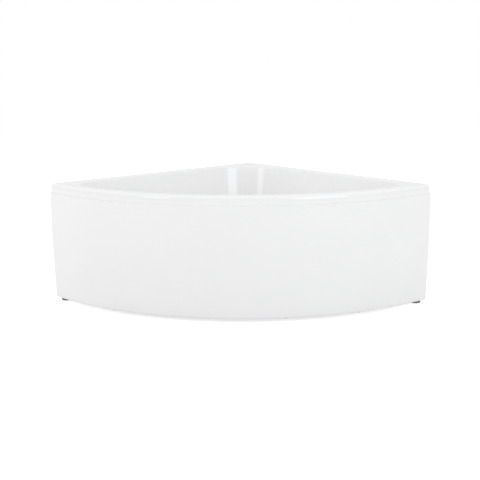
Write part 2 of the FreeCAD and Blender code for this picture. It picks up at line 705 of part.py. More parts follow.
weld_nuts = []
lock_nuts = []
weld_nut_z = num(f"{RAIL_UNDER} - weld_nut_height")
for number, (name, place) in enumerate(foot_points.items(), start=1):
    for kind, nuts, height, low in (
        ("weld_nut", weld_nuts, "weld_nut_height", weld_nut_z),
        ("lock_nut", lock_nuts, "lock_nut_height", num(f"{RAIL_UNDER} - lock_nut_drop")),
    ):
        blank = doc.addObject("Part::Prism", f"{kind}_blank_{number}")
        blank.Polygon = 6
        blank.setExpression("Circumradius", bound("nut_flats_radius"))
        blank.setExpression("Height", bound(height))
        blank.Placement.Base = place + UP * low
        bore = cylinder(f"{kind}_bore_{number}", "stud_radius + running_gap", f"{height} + 2 * tool_over",
                        place + UP * (low - over))
        nut = doc.addObject("Part::Cut", f"{kind}_{number}")
        nut.Base = blank
        nut.Tool = bore
        nuts.append(nut)
    stud = keep(cylinder(f"foot_stud_{number}", "stud_radius", f"{RAIL_UNDER} + stud_reach - pad_sole",
                         place + UP * num("pad_sole")))
    stud.Label = f"foot_stud_{number}"
    keep(turned(f"foot_pad_{number}", [
        ("0", "0"), ("pad_radius", "0"), ("pad_radius", "pad_height / 2"),
        ("pad_radius - pad_bevel", "pad_height"), ("stud_radius", "pad_height"), ("stud_radius", "pad_sole"),
        ("0", "pad_sole"),
    ], Placement(place, Rotation())))
keep(group("weld_nuts", weld_nuts))
keep(group("lock_nuts", lock_nuts))

# ---- wall brackets ----------------------------------------------------------------------------

shelf_top = num(LIP_BOTTOM)
plate = num("bracket_thick")


def wall_bracket(label, offset, on_right_wall):
    """An angle on the wall: its upright leg is screwed on and its shelf carries the tub's lip."""
    turn = Rotation() if on_right_wall else Rotation(UP, 90)
    side = 1 if on_right_wall else -1
    width = num("bracket_width")
    offset *= side
    leg = box(f"{label}_leg", "bracket_thick", "bracket_width", "bracket_leg",
              Vector(half - plate, offset - width / 2, shelf_top - num("bracket_leg")))
    shelf = box(f"{label}_shelf", "bracket_shelf", "bracket_width", "bracket_thick",
                Vector(half - num("bracket_shelf"), offset - width / 2, shelf_top - plate))
    blank = fuse(f"{label}_angle", [leg, shelf])
    tools = []
    for hole, step in enumerate((-1, 1), start=1):
        at = Vector(half - 2 * plate, offset + step * num("bracket_hole_spacing") / 2,
                    shelf_top - num("bracket_leg") / 2)
        tools.append(cylinder(f"{label}_hole_{hole}", "bracket_hole", "3 * bracket_thick", at, ALONG_X))
    bracket = cut(label, blank, tools)
    bracket.Placement = Placement(Vector(), turn)
    keep(bracket)


for number, (offset, right) in enumerate(
        ((-num("bracket_offset"), True), (num("bracket_offset"), True),
         (-num("bracket_offset"), False), (num("bracket_offset"), False)), start=1):
    wall_bracket(f"wall_bracket_{number}", offset, right)

# ---- panel fixings ----------------------------------------------------------------------------

clip_reach = num(f"{RIM_RAIL_R} - rim_tube / 2 + clip_set")
tongue_depth = num(f"{PANEL_R} - panel_skin - clip_tip_gap") - clip_reach
clip = num("clip_thick")
clip_width = num("clip_width")
tongue_top = num(f"{PANEL_TOP} - panel_skin - fit_gap")
outwards = Rotation(ALONG_X, TOWARDS_FRONT)


def at_bearing(bearing, reach, width, height):
    """A point by its bearing round the front arc from the diagonal, in degrees."""
    turn = Rotation(UP, bearing)
    centre = Vector(arc_centre, arc_centre, 0)
    local = TOWARDS_FRONT * reach + ALONG_WIDTH * width
    return centre + turn.multVec(local) + UP * height, turn


def clip_box(name, bearing, reach, depth, low, height, width):
    """A plate of a clip or bracket: from its inner reach outwards, across the bearing's line."""
    at, turn = at_bearing(bearing, reach, -width / 2, low)
    thing = doc.addObject("Part::Box", name)
    thing.Length = depth
    thing.Width = width
    thing.Height = height
    thing.Placement = Placement(at, turn.multiply(outwards))
    return thing


clips = []
for number in range(1, 6):
    name = f"panel_clip_{number}"
    bearing = num("clip_bearing") * (number - 3)
    head = clip_box(f"{name}_head", bearing, clip_reach, num("clip_head_depth"), rim_z - clip, clip, clip_width)
    web = clip_box(f"{name}_web", bearing, clip_reach, clip, tongue_top - clip, rim_z - tongue_top + clip,
                   clip_width)
    tongue = clip_box(f"{name}_tongue", bearing, clip_reach, tongue_depth, tongue_top - clip, clip, clip_width)
    clips.append(fuse(name, [head, web, tongue]))
keep(group("panel_clips", clips))

bracket_reach = num(f"{FRONT_RAIL_R} + tube_size / 2 + fit_gap")
bracket_width = num("panel_bracket_width")
tab_low = ground + skin + num("fit_gap")
tab_reach = num(f"{PANEL_R} - panel_taper - panel_skin - tab_tip_gap")
screw_reach = tab_reach - num("panel_screw_radius + tab_screw_gap - tab_tip_gap")
bracket_bearings = (-num("bracket_bearing"), num("bracket_bearing_inner"), num("bracket_bearing"))
screws = []
for number, bearing in enumerate(bracket_bearings, start=1):
    name = f"panel_bracket_{number}"
    web = clip_box(f"{name}_web", bearing, bracket_reach, plate, tab_low, rail_z + tube - tab_low,
                   bracket_width)
    tab = clip_box(f"{name}_tab", bearing, bracket_reach, tab_reach - bracket_reach, tab_low, plate,
                   bracket_width)
    at, turn = at_bearing(bearing, screw_reach, 0, 0)
    hole = cylinder(f"{name}_hole", "panel_screw_radius", "bracket_thick + 2 * tool_over",
                    at + UP * (tab_low - over))
    keep(cut(name, fuse(f"{name}_angle", [web, tab]), [hole]))
    head = cylinder(f"panel_screw_head_{number}", "2 * panel_screw_radius", "panel_screw_radius",
                    at + UP * (ground - num("panel_screw_radius")))
    shank = cylinder(f"panel_screw_shank_{number}", "panel_screw_radius",
                     "panel_skin + fit_gap + bracket_thick", at + UP * ground)
    screws.append(fuse(f"panel_screw_{number}", [head, shank]))
    cylinder_in(panel, f"panel_screw_hole_{number}", "panel_screw_radius", "3 * panel_skin",
                at + UP * (ground - skin), cut=True)
keep(group("panel_screws", screws))

# ---- waste ------------------------------------------------------------------------------------

# The waste's own frame: X towards the front, Y along the width, Z up, on the drain's axis.
drain_frame = Placement(drain_centre, Rotation(TOWARDS_FRONT, ALONG_WIDTH, UP, "ZXY"))
on_drain = Placement(drain_centre, Rotation())
RECESS = f"({FLOOR_TOP} - drain_recess_depth)"
FLANGE_LOW = f"({RECESS} + seal_thick)"
FLANGE_TOP = f"({FLANGE_LOW} + flange_thick)"
COLLAR_TOP = f"({FLOOR_UNDER} - lower_seal_thick)"
COLLAR_LOW = f"({COLLAR_TOP} - collar_thick)"
BOWL_LOW = f"({COLLAR_TOP} - waste_bowl_height)"
TAIL_END = f"({BOWL_LOW} - tail_length)"
SLEEVE = "(flange_bore + flange_wall)"
BOWL_BORE = "(waste_bowl_radius - waste_wall)"
TAIL_BORE = "(tail_radius - waste_wall)"
PORT_R = "(hose_radius - hose_wall)"

keep(turned("drain_upper_seal", [
    ("drain_hole", RECESS), ("flange_radius - seal_inset", RECESS),
    ("flange_radius - seal_inset", FLANGE_LOW), ("drain_hole", FLANGE_LOW),
], on_drain))
keep(turned("drain_lower_seal", [
    ("drain_hole + seal_inset", COLLAR_TOP), ("waste_collar - seal_inset", COLLAR_TOP),
    ("waste_collar - seal_inset", FLOOR_UNDER), ("drain_hole + seal_inset", FLOOR_UNDER),
], on_drain))

flange = keep(turned("drain_flange", [
    ("flange_bore", FLANGE_TOP), ("flange_radius - flange_bevel", FLANGE_TOP),
    ("flange_radius", f"{FLANGE_LOW} + flange_edge"), ("flange_radius", FLANGE_LOW), (SLEEVE, FLANGE_LOW),
    (SLEEVE, COLLAR_LOW), ("flange_bore", COLLAR_LOW),
]))
spoke_z = num(f"{COLLAR_LOW} + flange_edge")
spokes = 3
for number in range(spokes):
    turn = Rotation(UP, 360 / spokes * number)
    box_in(flange, f"flange_spoke_{number}", "flange_bore + flange_wall / 2", "spoke_width", "spoke_height",
           UP * spoke_z + turn.multVec(ALONG_Y * -num("spoke_width / 2")), turn)
cylinder_in(flange, "flange_hub", "plug_stem_radius + hub_wall", "hub_height", UP * (spoke_z - num("hub_drop")))
cylinder_in(flange, "flange_hub_bore", "plug_stem_radius + running_gap", "2 * hub_height",
            UP * (spoke_z - num("hub_drop + hub_height / 2")), cut=True)
flange.Placement = Placement(drain_centre, Rotation(UP, num("spoke_turn")))

# The lever's shaft lies across the bowl, one arm's length behind the plug's stem.
shaft_z = num(f"{BOWL_LOW} + lever_height")
shaft_at = Vector(-num("lever_arm"), 0, shaft_z)
waste = keep(turned("drain_body", [
    (f"{SLEEVE} + fit_gap", COLLAR_TOP), ("waste_collar", COLLAR_TOP), ("waste_collar", COLLAR_LOW),
    ("waste_bowl_radius", COLLAR_LOW), ("waste_bowl_radius", BOWL_LOW),
    ("tail_radius", f"{BOWL_LOW} - waste_wall"), ("tail_radius", TAIL_END), (TAIL_BORE, TAIL_END),
    (TAIL_BORE, f"{BOWL_LOW} + bowl_fall"),
    (BOWL_BORE, f"{BOWL_LOW} + waste_wall"), (BOWL_BORE, f"{COLLAR_LOW} - waste_wall"),
    (f"{SLEEVE} + fit_gap", COLLAR_LOW),
]))
port_z = num(f"{FLOOR_UNDER} - port_drop")
cylinder_in(waste, "hose_port", PORT_R, "port_reach - waste_bowl_radius + waste_wall / 2",
            Vector(num("waste_bowl_radius - waste_wall / 2"), 0, port_z), ALONG_X)
cylinder_in(waste, "hose_port_bore", f"{PORT_R} - port_wall", "port_reach",
            Vector(num("waste_bowl_radius - 2 * waste_wall"), 0, port_z), ALONG_X, True)
cylinder_in(waste, "lever_boss", "lever_shaft + boss_wall", "waste_bowl_radius - boss_inset",
            shaft_at + ALONG_Y * num("boss_start"), ALONG_Y)
cylinder_in(waste, "waste_hollow", BOWL_BORE, "waste_bowl_height - collar_thick - 2 * waste_wall",
            UP * num(f"{BOWL_LOW} + waste_wall"), cut=True)
cylinder_in(waste, "lever_bore", "lever_shaft + running_gap", "2 * waste_bowl_radius", shaft_at, ALONG_Y, True)
gland_at = Vector(num("gland_ahead"), num("waste_bowl_radius + gland_outside"), shaft_z - num("gland_drop"))
arm_width = num("gland_length")
arm_start = num("waste_bowl_radius - 2 * waste_wall - boss_start / 4")
box_in(waste, "cable_arm", "gland_length", f"{gland_at.y - arm_start}", "gland_length / 2",
       Vector(gland_at.x - arm_width / 2, arm_start, gland_at.z - arm_width / 4))
gland_back = gland_at - ALONG_X * (arm_width / 2)
cylinder_in(waste, "cable_gland", "cable_radius + gland_wall", "gland_length", gland_back, ALONG_X)
cable_seat = gland_back + ALONG_X * num("gland_length / 3")
cylinder_in(waste, "cable_gland_bore", "cable_radius", "gland_length", cable_seat, ALONG_X, True)
cylinder_in(waste, "cable_wire_bore", "wire_radius", "gland_length", gland_back - ALONG_X, ALONG_X, True)
waste.Placement = drain_frame

# The finger points down at rest by half of the lever's swing and lifts the plug's stem.
swing = num("lever_half_swing")
finger_turn = Rotation(ALONG_Y, swing)
finger_top = shaft_z - num("lever_arm") * math.sin(math.radians(swing)) + num("finger_thick / 2 + stem_rest")
stem_low = finger_top + num("fit_gap")
lever = keep(new_body("lifter_lever"))
shaft_start = shaft_at - ALONG_Y * num("finger_width / 2")
cylinder_in(lever, "lever_shaft_bar", "lever_shaft", f"{gland_at.y} + finger_width / 2 + crank_width / 3",
            shaft_start, ALONG_Y)
box_in(lever, "lever_finger", "lever_arm + finger_past", "finger_width", "finger_thick",
       shaft_start - finger_turn.multVec(UP * num("finger_thick / 2")), finger_turn)
box_in(lever, "lever_crank", "2 * lever_shaft", "crank_width", "crank_drop + lever_shaft",
       Vector(shaft_at.x - num("lever_shaft"), gland_at.y - num("crank_width * 2 / 3"),
              shaft_z - num("crank_drop")))
lever.Placement = drain_frame

plug_low = num(f"{FLANGE_TOP} + fit_gap")
plug = keep(new_body("drain_plug"))
plug_sketch = new_sketch(plug, "plug_profile", "XZ_Plane")
stem_r = num("plug_stem_radius")
cap_r = num("plug_radius")
rim_high = plug_low + num("plug_rim")
dome_high = plug_low + num("plug_dome")
dome_rise = dome_high - rim_high
dome_r = (cap_r ** 2 + dome_rise ** 2) / (2 * dome_rise)
dome_mid = arc_mid((0, dome_high - dome_r), dome_r, (cap_r, rim_high), (0, dome_high))
plug_sketch.addGeometry([
    Part.LineSegment(flat((0, stem_low)), flat((stem_r, stem_low))),
    Part.LineSegment(flat((stem_r, stem_low)), flat((stem_r, plug_low))),
    Part.LineSegment(flat((stem_r, plug_low)), flat((cap_r, plug_low))),
    Part.LineSegment(flat((cap_r, plug_low)), flat((cap_r, rim_high))),
    Part.Arc(flat((cap_r, rim_high)), dome_mid, flat((0, dome_high))),
    Part.LineSegment(flat((0, dome_high)), flat((0, stem_low))),
], False)
plug_turn = plug.newObject("PartDesign::Revolution", "plug_turn")
plug_turn.Profile = plug_sketch
plug_turn.ReferenceAxis = (plug_sketch, ["V_Axis"])
plug_turn.Angle = 360
doc.recompute()
plug.Placement = on_drain
keep(turned("plug_seal", [
    ("plug_stem_radius", f"{plug_low} - plug_seal_depth"),
    ("flange_bore - plug_seal_taper", f"{plug_low} - plug_seal_depth"),
    ("flange_bore - fit_gap", f"{plug_low} - plug_seal_depth / 3"), ("flange_bore - fit_gap", f"{plug_low}"),
    ("plug_stem_radius", f"{plug_low}"),
], on_drain))

# ---- trap and outlet --------------------------------------------------------------------------

SHOULDER = f"({TAIL_END} - trap_neck)"
SHOULDER_EDGE = f"({SHOULDER} - trap_slope)"
TRAP_BASE = f"({TAIL_END} - trap_depth)"
TRAP_BORE = "(trap_radius - trap_wall)"
keep(turned("trap_nut", [
    ("tail_radius + fit_gap", f"{TAIL_END} - nut_overlap"),
    ("tail_radius + nut_wall", f"{TAIL_END} - nut_overlap"),
    ("tail_radius + nut_wall", f"{TAIL_END} + nut_length"),
    ("tail_radius + nut_wall - nut_bevel", f"{TAIL_END} + nut_length + nut_bevel"),
    ("tail_radius + fit_gap", f"{TAIL_END} + nut_length + nut_bevel"),
], on_drain))
trap = keep(turned("trap_body", [
    (TAIL_BORE, TAIL_END), ("tail_radius", TAIL_END), ("tail_radius", SHOULDER), ("trap_radius", SHOULDER_EDGE),
    ("trap_radius", TRAP_BASE), (TRAP_BORE, TRAP_BASE), (TRAP_BORE, f"{SHOULDER_EDGE} - trap_wall"),
    ("tail_radius", f"{SHOULDER} - trap_wall"), (TAIL_BORE, f"{SHOULDER} - trap_wall"),
]))
stub_start = num("trap_radius - 2 * trap_wall")
outlet_z = num(f"{TAIL_END} - outlet_drop")
cylinder_in(trap, "outlet_stub", "outlet_radius + outlet_wall", "stub_reach - trap_radius + 2 * trap_wall",
            Vector(0, stub_start, outlet_z), ALONG_Y)
cylinder_in(trap, "outlet_stub_bore", "outlet_radius - outlet_wall", "stub_reach",
            Vector(0, stub_start - num("trap_wall"), outlet_z), ALONG_Y, True)
cylinder_in(trap, "trap_hollow", TRAP_BORE, "trap_hollow_height", UP * num(TRAP_BASE), UP, True)
trap.Placement = on_drain
keep(turned("trap_cap", [
    ("0", f"{TRAP_BASE} - cap_height"), ("trap_radius - 2 * cap_bevel", f"{TRAP_BASE} - cap_height"),
    ("trap_radius", f"{TRAP_BASE} - cap_height + cap_bevel"), ("trap_radius", TRAP_BASE),
    (f"{TRAP_BORE} - fit_gap", TRAP_BASE), (f"{TRAP_BORE} - fit_gap", f"{TRAP_BASE} + cap_plug"),
    ("0", f"{TRAP_BASE} + cap_plug"),
], on_drain))
pipe_turn = Rotation(UP, ALONG_Y)
stub_end = drain_centre + Vector(0, num("stub_reach"), outlet_z)
keep(turned("outlet_nut", [
    ("outlet_radius + outlet_wall", "-nut_length"), ("outlet_radius + nut_wall", "-nut_length"),
    ("outlet_radius + nut_wall", "nut_overlap"),
    ("outlet_radius + nut_wall - nut_bevel", "nut_overlap + nut_bevel"),
    ("outlet_radius + fit_gap", "nut_overlap + nut_bevel"), ("outlet_radius + fit_gap", "0"),
    ("outlet_radius + outlet_wall", "0"),
], Placement(stub_end, pipe_turn)))
keep(turned("outlet_pipe", [
    ("outlet_radius - outlet_wall", "0"), ("outlet_radius - spigot_step", "0"),
    ("outlet_radius - spigot_step", "nut_overlap + 2 * spigot_step + nut_bevel"),
    ("outlet_radius", "nut_overlap + 2 * spigot_step + nut_bevel"), ("outlet_radius", "outlet_length"),
    ("outlet_radius - outlet_wall", "outlet_length"),
], Placement(stub_end, pipe_turn)))

# ---- overflow ---------------------------------------------------------------------------------

SEAL_LOW = "(-shell_wall - overflow_seal_thick)"
BODY_LOW = f"({SEAL_LOW} - overflow_depth)"
MOUTH = "(overflow_hole - overflow_lip)"
COLLAR = "(overflow_seat - overflow_collar)"
keep(turned("overflow_seal", [
    ("overflow_hole + seal_inset", SEAL_LOW), (COLLAR, SEAL_LOW), (COLLAR, "-shell_wall"),
    ("overflow_hole + seal_inset", "-shell_wall"),
], overflow_frame))
overflow = keep(turned("overflow_body", [
    (MOUTH, SEAL_LOW), (COLLAR, SEAL_LOW), (COLLAR, f"{SEAL_LOW} - waste_wall"),
    ("overflow_bowl", f"{SEAL_LOW} - waste_wall"), ("overflow_bowl", BODY_LOW), ("0", BODY_LOW),
    ("0", f"{BODY_LOW} + waste_wall"), (MOUTH, f"{BODY_LOW} + waste_wall"),
]))
port_mid = num(f"{BODY_LOW} + hose_radius")
DOWN_WALL = Vector(0, -1, 0)
port_root = num(f"{MOUTH} - overflow_wall_inset")
cylinder_in(overflow, "overflow_port", PORT_R, f"overflow_seat + port_tail - {port_root}",
            DOWN_WALL * port_root + UP * port_mid, DOWN_WALL)
cylinder_in(overflow, "overflow_port_bore", f"{PORT_R} - port_wall", "2 * overflow_seat",
            DOWN_WALL * num("overflow_wall_inset") + UP * port_mid, DOWN_WALL, True)
cylinder_in(overflow, "overflow_hollow", MOUTH, "overflow_depth - waste_wall",
            UP * num(f"{BODY_LOW} + waste_wall"), UP, True)
post_low = num(f"{BODY_LOW} + waste_wall / 3")
post_length = "overflow_depth + overflow_seal_thick + shell_wall - waste_wall / 3"
screw_x = num("overflow_screw_offset")
for number, side in enumerate((-1, 1), start=1):
    at = Vector(side * screw_x, 0, post_low)
    cylinder_in(overflow, f"screw_post_{number}", "overflow_post", post_length, at)
    bore_low = -num("overflow_screw_bite + waste_wall")
    cylinder_in(overflow, f"screw_post_bore_{number}", "overflow_screw", "overflow_depth",
                Vector(side * screw_x, 0, bore_low), cut=True)
socket_at = Vector(-num("socket_offset"), -num("socket_drop"), port_mid)
cylinder_in(overflow, "cable_socket", "cable_radius + socket_wall", "socket_length", socket_at, DOWN_WALL)
cable_top = socket_at + DOWN_WALL * num("socket_length / 2")
cylinder_in(overflow, "cable_socket_bore", "cable_radius", "socket_length", cable_top, DOWN_WALL, True)
overflow.Placement = overflow_frame

rosette = keep(turned("overflow_rosette", [
    (f"{MOUTH} - flange_edge", "0"), ("rosette_radius", "0"), ("rosette_radius", "rosette_edge"),
    ("rosette_radius - rosette_bevel", "rosette_thick"), (f"{MOUTH} - flange_edge", "rosette_thick"),
]))
box_in(rosette, "rosette_bar", f"2 * {MOUTH}", "rosette_bar_width", "rosette_thick",
       Vector(-num(MOUTH), -num("rosette_bar_width / 2"), 0))
cylinder_in(rosette, "rosette_hub", "2 * spindle_radius", "rosette_thick")
cylinder_in(rosette, "rosette_bore", "spindle_radius + running_gap", "3 * rosette_thick",
            UP * -num("rosette_thick"), cut=True)
for number, side in enumerate((-1, 1), start=1):
    cylinder_in(rosette, f"rosette_hole_{number}", "overflow_screw + fit_gap", "3 * rosette_thick",
                Vector(side * screw_x, 0, -num("rosette_thick")), cut=True)
rosette.Placement = overflow_frame

overflow_screws = []
for number, side in enumerate((-1, 1), start=1):
    head = cylinder(f"overflow_screw_head_{number}", "2 * overflow_screw", "overflow_screw_head",
                    in_overflow(side * screw_x, 0, num("rosette_thick")), into_basin)
    shank = cylinder(f"overflow_screw_shank_{number}", "overflow_screw", "rosette_thick + overflow_screw_bite",
                     in_overflow(side * screw_x, 0, -num("overflow_screw_bite")), into_basin)
    overflow_screws.append(fuse(f"overflow_screw_{number}", [head, shank]))
keep(group("overflow_screws", overflow_screws))

knob = keep(new_body("overflow_knob"))
disc_low = num("rosette_thick + knob_gap")
grip_low = disc_low + num("knob_thick") - num("knob_gap / 3")
cylinder_in(knob, "knob_spindle", "spindle_radius", f"spindle_depth + {disc_low} + knob_gap / 3",
            UP * -num("spindle_depth"))
cylinder_in(knob, "knob_disc", "knob_radius", "knob_thick", UP * disc_low)
box_in(knob, "knob_grip", "2 * (knob_radius - knob_grip_inset)", "knob_grip_width", "knob_grip_height",
       Vector(-num("knob_radius - knob_grip_inset"), -num("knob_grip_width / 2"), grip_low))
knob.Placement = overflow_frame


# ---- hose and cable ---------------------------------------------------------------------------

def rounded_run(points, radii):
    """Straight runs joined by tangent arcs of the given radii at the inner points."""
    edges = []
    start = points[0]
    for before, corner, after, radius in zip(points, points[1:], points[2:], radii):
        back_way = (before - corner).normalize()
        on_way = (after - corner).normalize()
        half_turn = (math.pi - back_way.getAngle(on_way)) / 2
        step = radius * math.tan(half_turn)
        first = corner + back_way * step
        last = corner + on_way * step
        inward = (back_way + on_way).normalize()
        middle = corner + inward * (radius / math.cos(half_turn) - radius)
        edges.append(Part.LineSegment(start, first).toShape())
        edges.append(Part.Arc(first, middle, last).toShape())
        start = last
    edges.append(Part.LineSegment(start, points[-1]).toShape())
    return Part.Wire(edges)


def tube_along(wire, outer, inner=None):
    """A round tube along a wire; its volume has to be its section times its length."""
    start = wire.Edges[0].valueAt(wire.Edges[0].FirstParameter)
    tangent = wire.Edges[0].tangentAt(wire.Edges[0].FirstParameter)

    def sweep(radius):
        ring = Part.Wire([Part.makeCircle(radius, start, tangent)])
        return wire.makePipeShell([ring], True, True)
    solid = sweep(outer)
    area = math.pi * outer ** 2
    if inner:
        solid = solid.cut(sweep(inner))
        area -= math.pi * inner ** 2
    if abs(solid.Volume / (area * wire.Length) - 1) > 0.01:
        raise ValueError("a swept tube has lost its section")
    return solid


def shape_piece(label, shape):
    piece = doc.addObject("Part::Feature", label)
    piece.Shape = shape
    piece.Label = label
    return keep(piece)


down = overflow_turn.multVec(DOWN_WALL)
hose_top = in_overflow(0, -num("overflow_seat - overflow_lip"), port_mid)
hose_corner = hose_top + down * ((hose_top.z - port_z) / -down.z)
hose_end = drain_frame.multVec(Vector(num("port_reach - port_grip"), 0, port_z))
hose_line = rounded_run([hose_top, hose_corner, hose_end], [num("hose_bend")])
shape_piece("overflow_hose", tube_along(hose_line, num("hose_radius"), num(PORT_R)))


def hose_nut(label, at, direction):
    keep(turned(label, [
        ("hose_radius", "-hose_nut_half"), ("hose_radius + hose_nut_wall", "-hose_nut_half"),
        ("hose_radius + hose_nut_wall", "hose_nut_half / 2"),
        ("hose_radius + hose_nut_wall / 2", "hose_nut_half"), ("hose_radius", "hose_nut_half"),
    ], Placement(at, Rotation(UP, direction))))


hose_nut("hose_nut_upper", hose_top + down * num("hose_nut_set"), down)
hose_nut("hose_nut_lower", hose_end + TOWARDS_FRONT * num("hose_nut_set"), TOWARDS_FRONT)

cable_start = overflow_frame.multVec(cable_top)
cable_end = drain_frame.multVec(cable_seat)
cable_drop = cable_start.z - gland_at.z - num("cable_turn_rise")
cable_points = [
    cable_start,
    cable_start + down * (cable_drop / -down.z),
    drain_frame.multVec(gland_at + Vector(num("cable_swing"), -num("cable_aside"), num("cable_rise"))),
    drain_frame.multVec(Vector(num("cable_run"), gland_at.y, gland_at.z)),
    cable_end,
]
cable_line = rounded_run(cable_points, [num("cable_bend_high"), num("cable_bend_mid"), num("cable_bend_low")])
shape_piece("bowden_cable", tube_along(cable_line, num("cable_radius")))

# ---- checks and files -------------------------------------------------------------------------

doc.recompute()
for thing in doc.Objects:
    if "Invalid" in thing.State or "Error" in thing.State:
        raise ValueError(f"{thing.Label} failed: {thing.State}")
labels = [piece.Label for piece in pieces]
if len(set(labels)) != len(labels):
    raise ValueError("two pieces share a name")
groups = {"frame_screws": len(frame_screws), "weld_nuts": len(weld_nuts), "lock_nuts": len(lock_nuts),
          "panel_clips": len(clips), "panel_screws": len(screws), "overflow_screws": len(overflow_screws)}
for piece in pieces:
    solids = piece.Shape.Solids
    if piece.Shape.isNull() or not piece.Shape.isValid() or len(solids) != groups.get(piece.Label, 1):
        raise ValueError(f"{piece.Label} has {len(solids)} solids or is not valid")
    if min(solid.Volume for solid in solids) <= 0:
        raise ValueError(f"{piece.Label} is inside out")
for piece in pieces:
    piece.Shape.exportStep(f"parts/{piece.Label}.step")
print(len(pieces), "pieces")
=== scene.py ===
"""Corner bathtub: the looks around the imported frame. Metres, +Z up; the room's corner is at +X +Y.

The shell and the panel are swept from the same outlines and sections as their CAD solids.
Fittings with a turned, threaded or ribbed surface are meshed here, and the frame's tubes and
sheet parts get rounded edges. The other nodes show their own solids.
"""

import json
from math import atan2, cos, degrees, hypot, pi, radians, sin, sqrt, tan

import bmesh
import bpy
from mathutils import Matrix, Vector


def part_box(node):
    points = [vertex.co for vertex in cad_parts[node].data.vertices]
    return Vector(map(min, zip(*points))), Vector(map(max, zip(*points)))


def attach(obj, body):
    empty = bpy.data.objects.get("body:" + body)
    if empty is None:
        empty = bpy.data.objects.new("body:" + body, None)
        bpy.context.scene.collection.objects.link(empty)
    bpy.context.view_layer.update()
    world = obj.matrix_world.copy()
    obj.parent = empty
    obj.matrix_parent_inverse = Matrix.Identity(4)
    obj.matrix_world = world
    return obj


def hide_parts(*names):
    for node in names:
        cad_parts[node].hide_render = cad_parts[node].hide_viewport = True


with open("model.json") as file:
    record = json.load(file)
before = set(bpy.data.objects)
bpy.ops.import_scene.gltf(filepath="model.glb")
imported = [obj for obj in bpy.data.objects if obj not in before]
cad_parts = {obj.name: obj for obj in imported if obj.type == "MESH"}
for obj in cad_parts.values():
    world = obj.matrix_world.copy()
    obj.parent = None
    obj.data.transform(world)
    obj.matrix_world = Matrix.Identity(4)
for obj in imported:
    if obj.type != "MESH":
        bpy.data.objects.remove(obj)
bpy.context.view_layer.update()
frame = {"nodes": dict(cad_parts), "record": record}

# Places read from the frame.
HALF = round(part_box("tub_shell")[1].x, 4)
BASIN_UNDER, TOP = (round(corner.z, 4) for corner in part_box("tub_shell"))
PANEL_LOW, PANEL_HIGH = (round(corner.z, 4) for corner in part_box("front_panel"))

# Outline and sections of the shell. The front arc's centre lies at ARC on both axes.
SHELL = 0.005
BASIN_FLOOR = BASIN_UNDER + SHELL
RETURN = 0.100
ARC = HALF - RETURN
PANEL_R = 2 * HALF - RETURN
LIP_INSET = 0.0045
LIP_R = PANEL_R - LIP_INSET
LIP_GAP = 0.0001
LIP_HEIGHT = TOP - PANEL_HIGH - LIP_GAP
LIP_ROUND = 0.010
LIP_LEAN = 0.002
LIP_CORNER = 0.0125
LIP_FOOT_ROUND = 0.0002
LIP_TOP_STRIP = 0.0003
LIP_INSIDE_DROP = 0.003
RIM_AT_WALL = 0.035
RIM_AT_FRONT = 0.054
RIM_STRIP = 0.009
UNDER_STRIP = 0.002
EDGE_SOFT = 0.0012
MOUTH_ROUND = 0.008
BACK_ROUND = 0.190
END_ROUND = 0.130
FOOT_ROUND = 0.060
FLOOR_STRIP = 0.003
DRAFT = radians(9)

# The panel.
PANEL_SKIN = 0.004
PANEL_TAPER = 0.014
PANEL_CROWN = 0.003
PANEL_TOP_FLANGE = 0.022
PANEL_FOOT_FLANGE = 0.010
PANEL_END_FLANGE = 0.025
PANEL_END_ROUND = 0.009
PANEL_CORNER_ROUND = 0.014
PANEL_EDGE_ROUND = 0.003
PANEL_INNER_SOFT = 0.001
FLANGE_TAPER_SHARE = 0.2

# Drain and overflow, in frames of their own: each has its Z along the fitting's axis.
TO_FRONT = Vector((-1, -1, 0)).normalized()
TO_RIGHT = Vector((1, -1, 0)).normalized()
ALONG_X = Vector((1, 0, 0))
ALONG_Y = Vector((0, 1, 0))
UP = Vector((0, 0, 1))
DRAIN_REACH = PANEL_R - 0.228
DRAIN_RECESS = 0.040
DRAIN_RECESS_DEPTH = 0.0025
DRAIN_HOLE = 0.026
DRAIN_SPOKE_TURN = radians(15)
OVERFLOW_DROP = 0.072
OVERFLOW_SEAT = 0.038
OVERFLOW_HOLE = 0.024
DRAIN_CENTRE = Vector((ARC, ARC, 0)) + TO_FRONT * DRAIN_REACH
OVERFLOW_REACH = PANEL_R - RIM_AT_FRONT - OVERFLOW_DROP * tan(DRAFT)
INTO_BASIN = TO_FRONT * -cos(DRAFT) + UP * sin(DRAFT)
SEAT_SINK = OVERFLOW_SEAT ** 2 / (2 * (PANEL_R - RIM_AT_FRONT))
OVERFLOW_CENTRE = (Vector((ARC, ARC, TOP - OVERFLOW_DROP)) + TO_FRONT * OVERFLOW_REACH
                   - INTO_BASIN * SEAT_SINK)

# How finely the outlines and sections are divided.
WALL_STEPS = 48
BACK_STEPS = 40
END_STEPS = 36
BASIN_FRONT_STEPS = 180
LIP_FRONT_STEPS = 100
PANEL_FRONT_STEPS = 200
CORNER_STEPS = 10
LIP_RETURN_STEPS = 10
PANEL_RETURN_STEPS = 20
FLANGE_STEPS = 4
MOUTH_STEPS = 8
BASIN_WALL_STEPS = 22
BASIN_FOOT_STEPS = 16
LIP_FOOT_STEPS = 3
PANEL_EDGE_STEPS = 5
PANEL_SKIN_STEPS = 30
PANEL_INNER_STEPS = 12

SHARP = radians(40)
ON_AXIS = 1e-6


# ---- meshes ----

def add_object(name, data):
    thing = bpy.data.objects.new(name, data)
    bpy.context.scene.collection.objects.link(thing)
    return thing


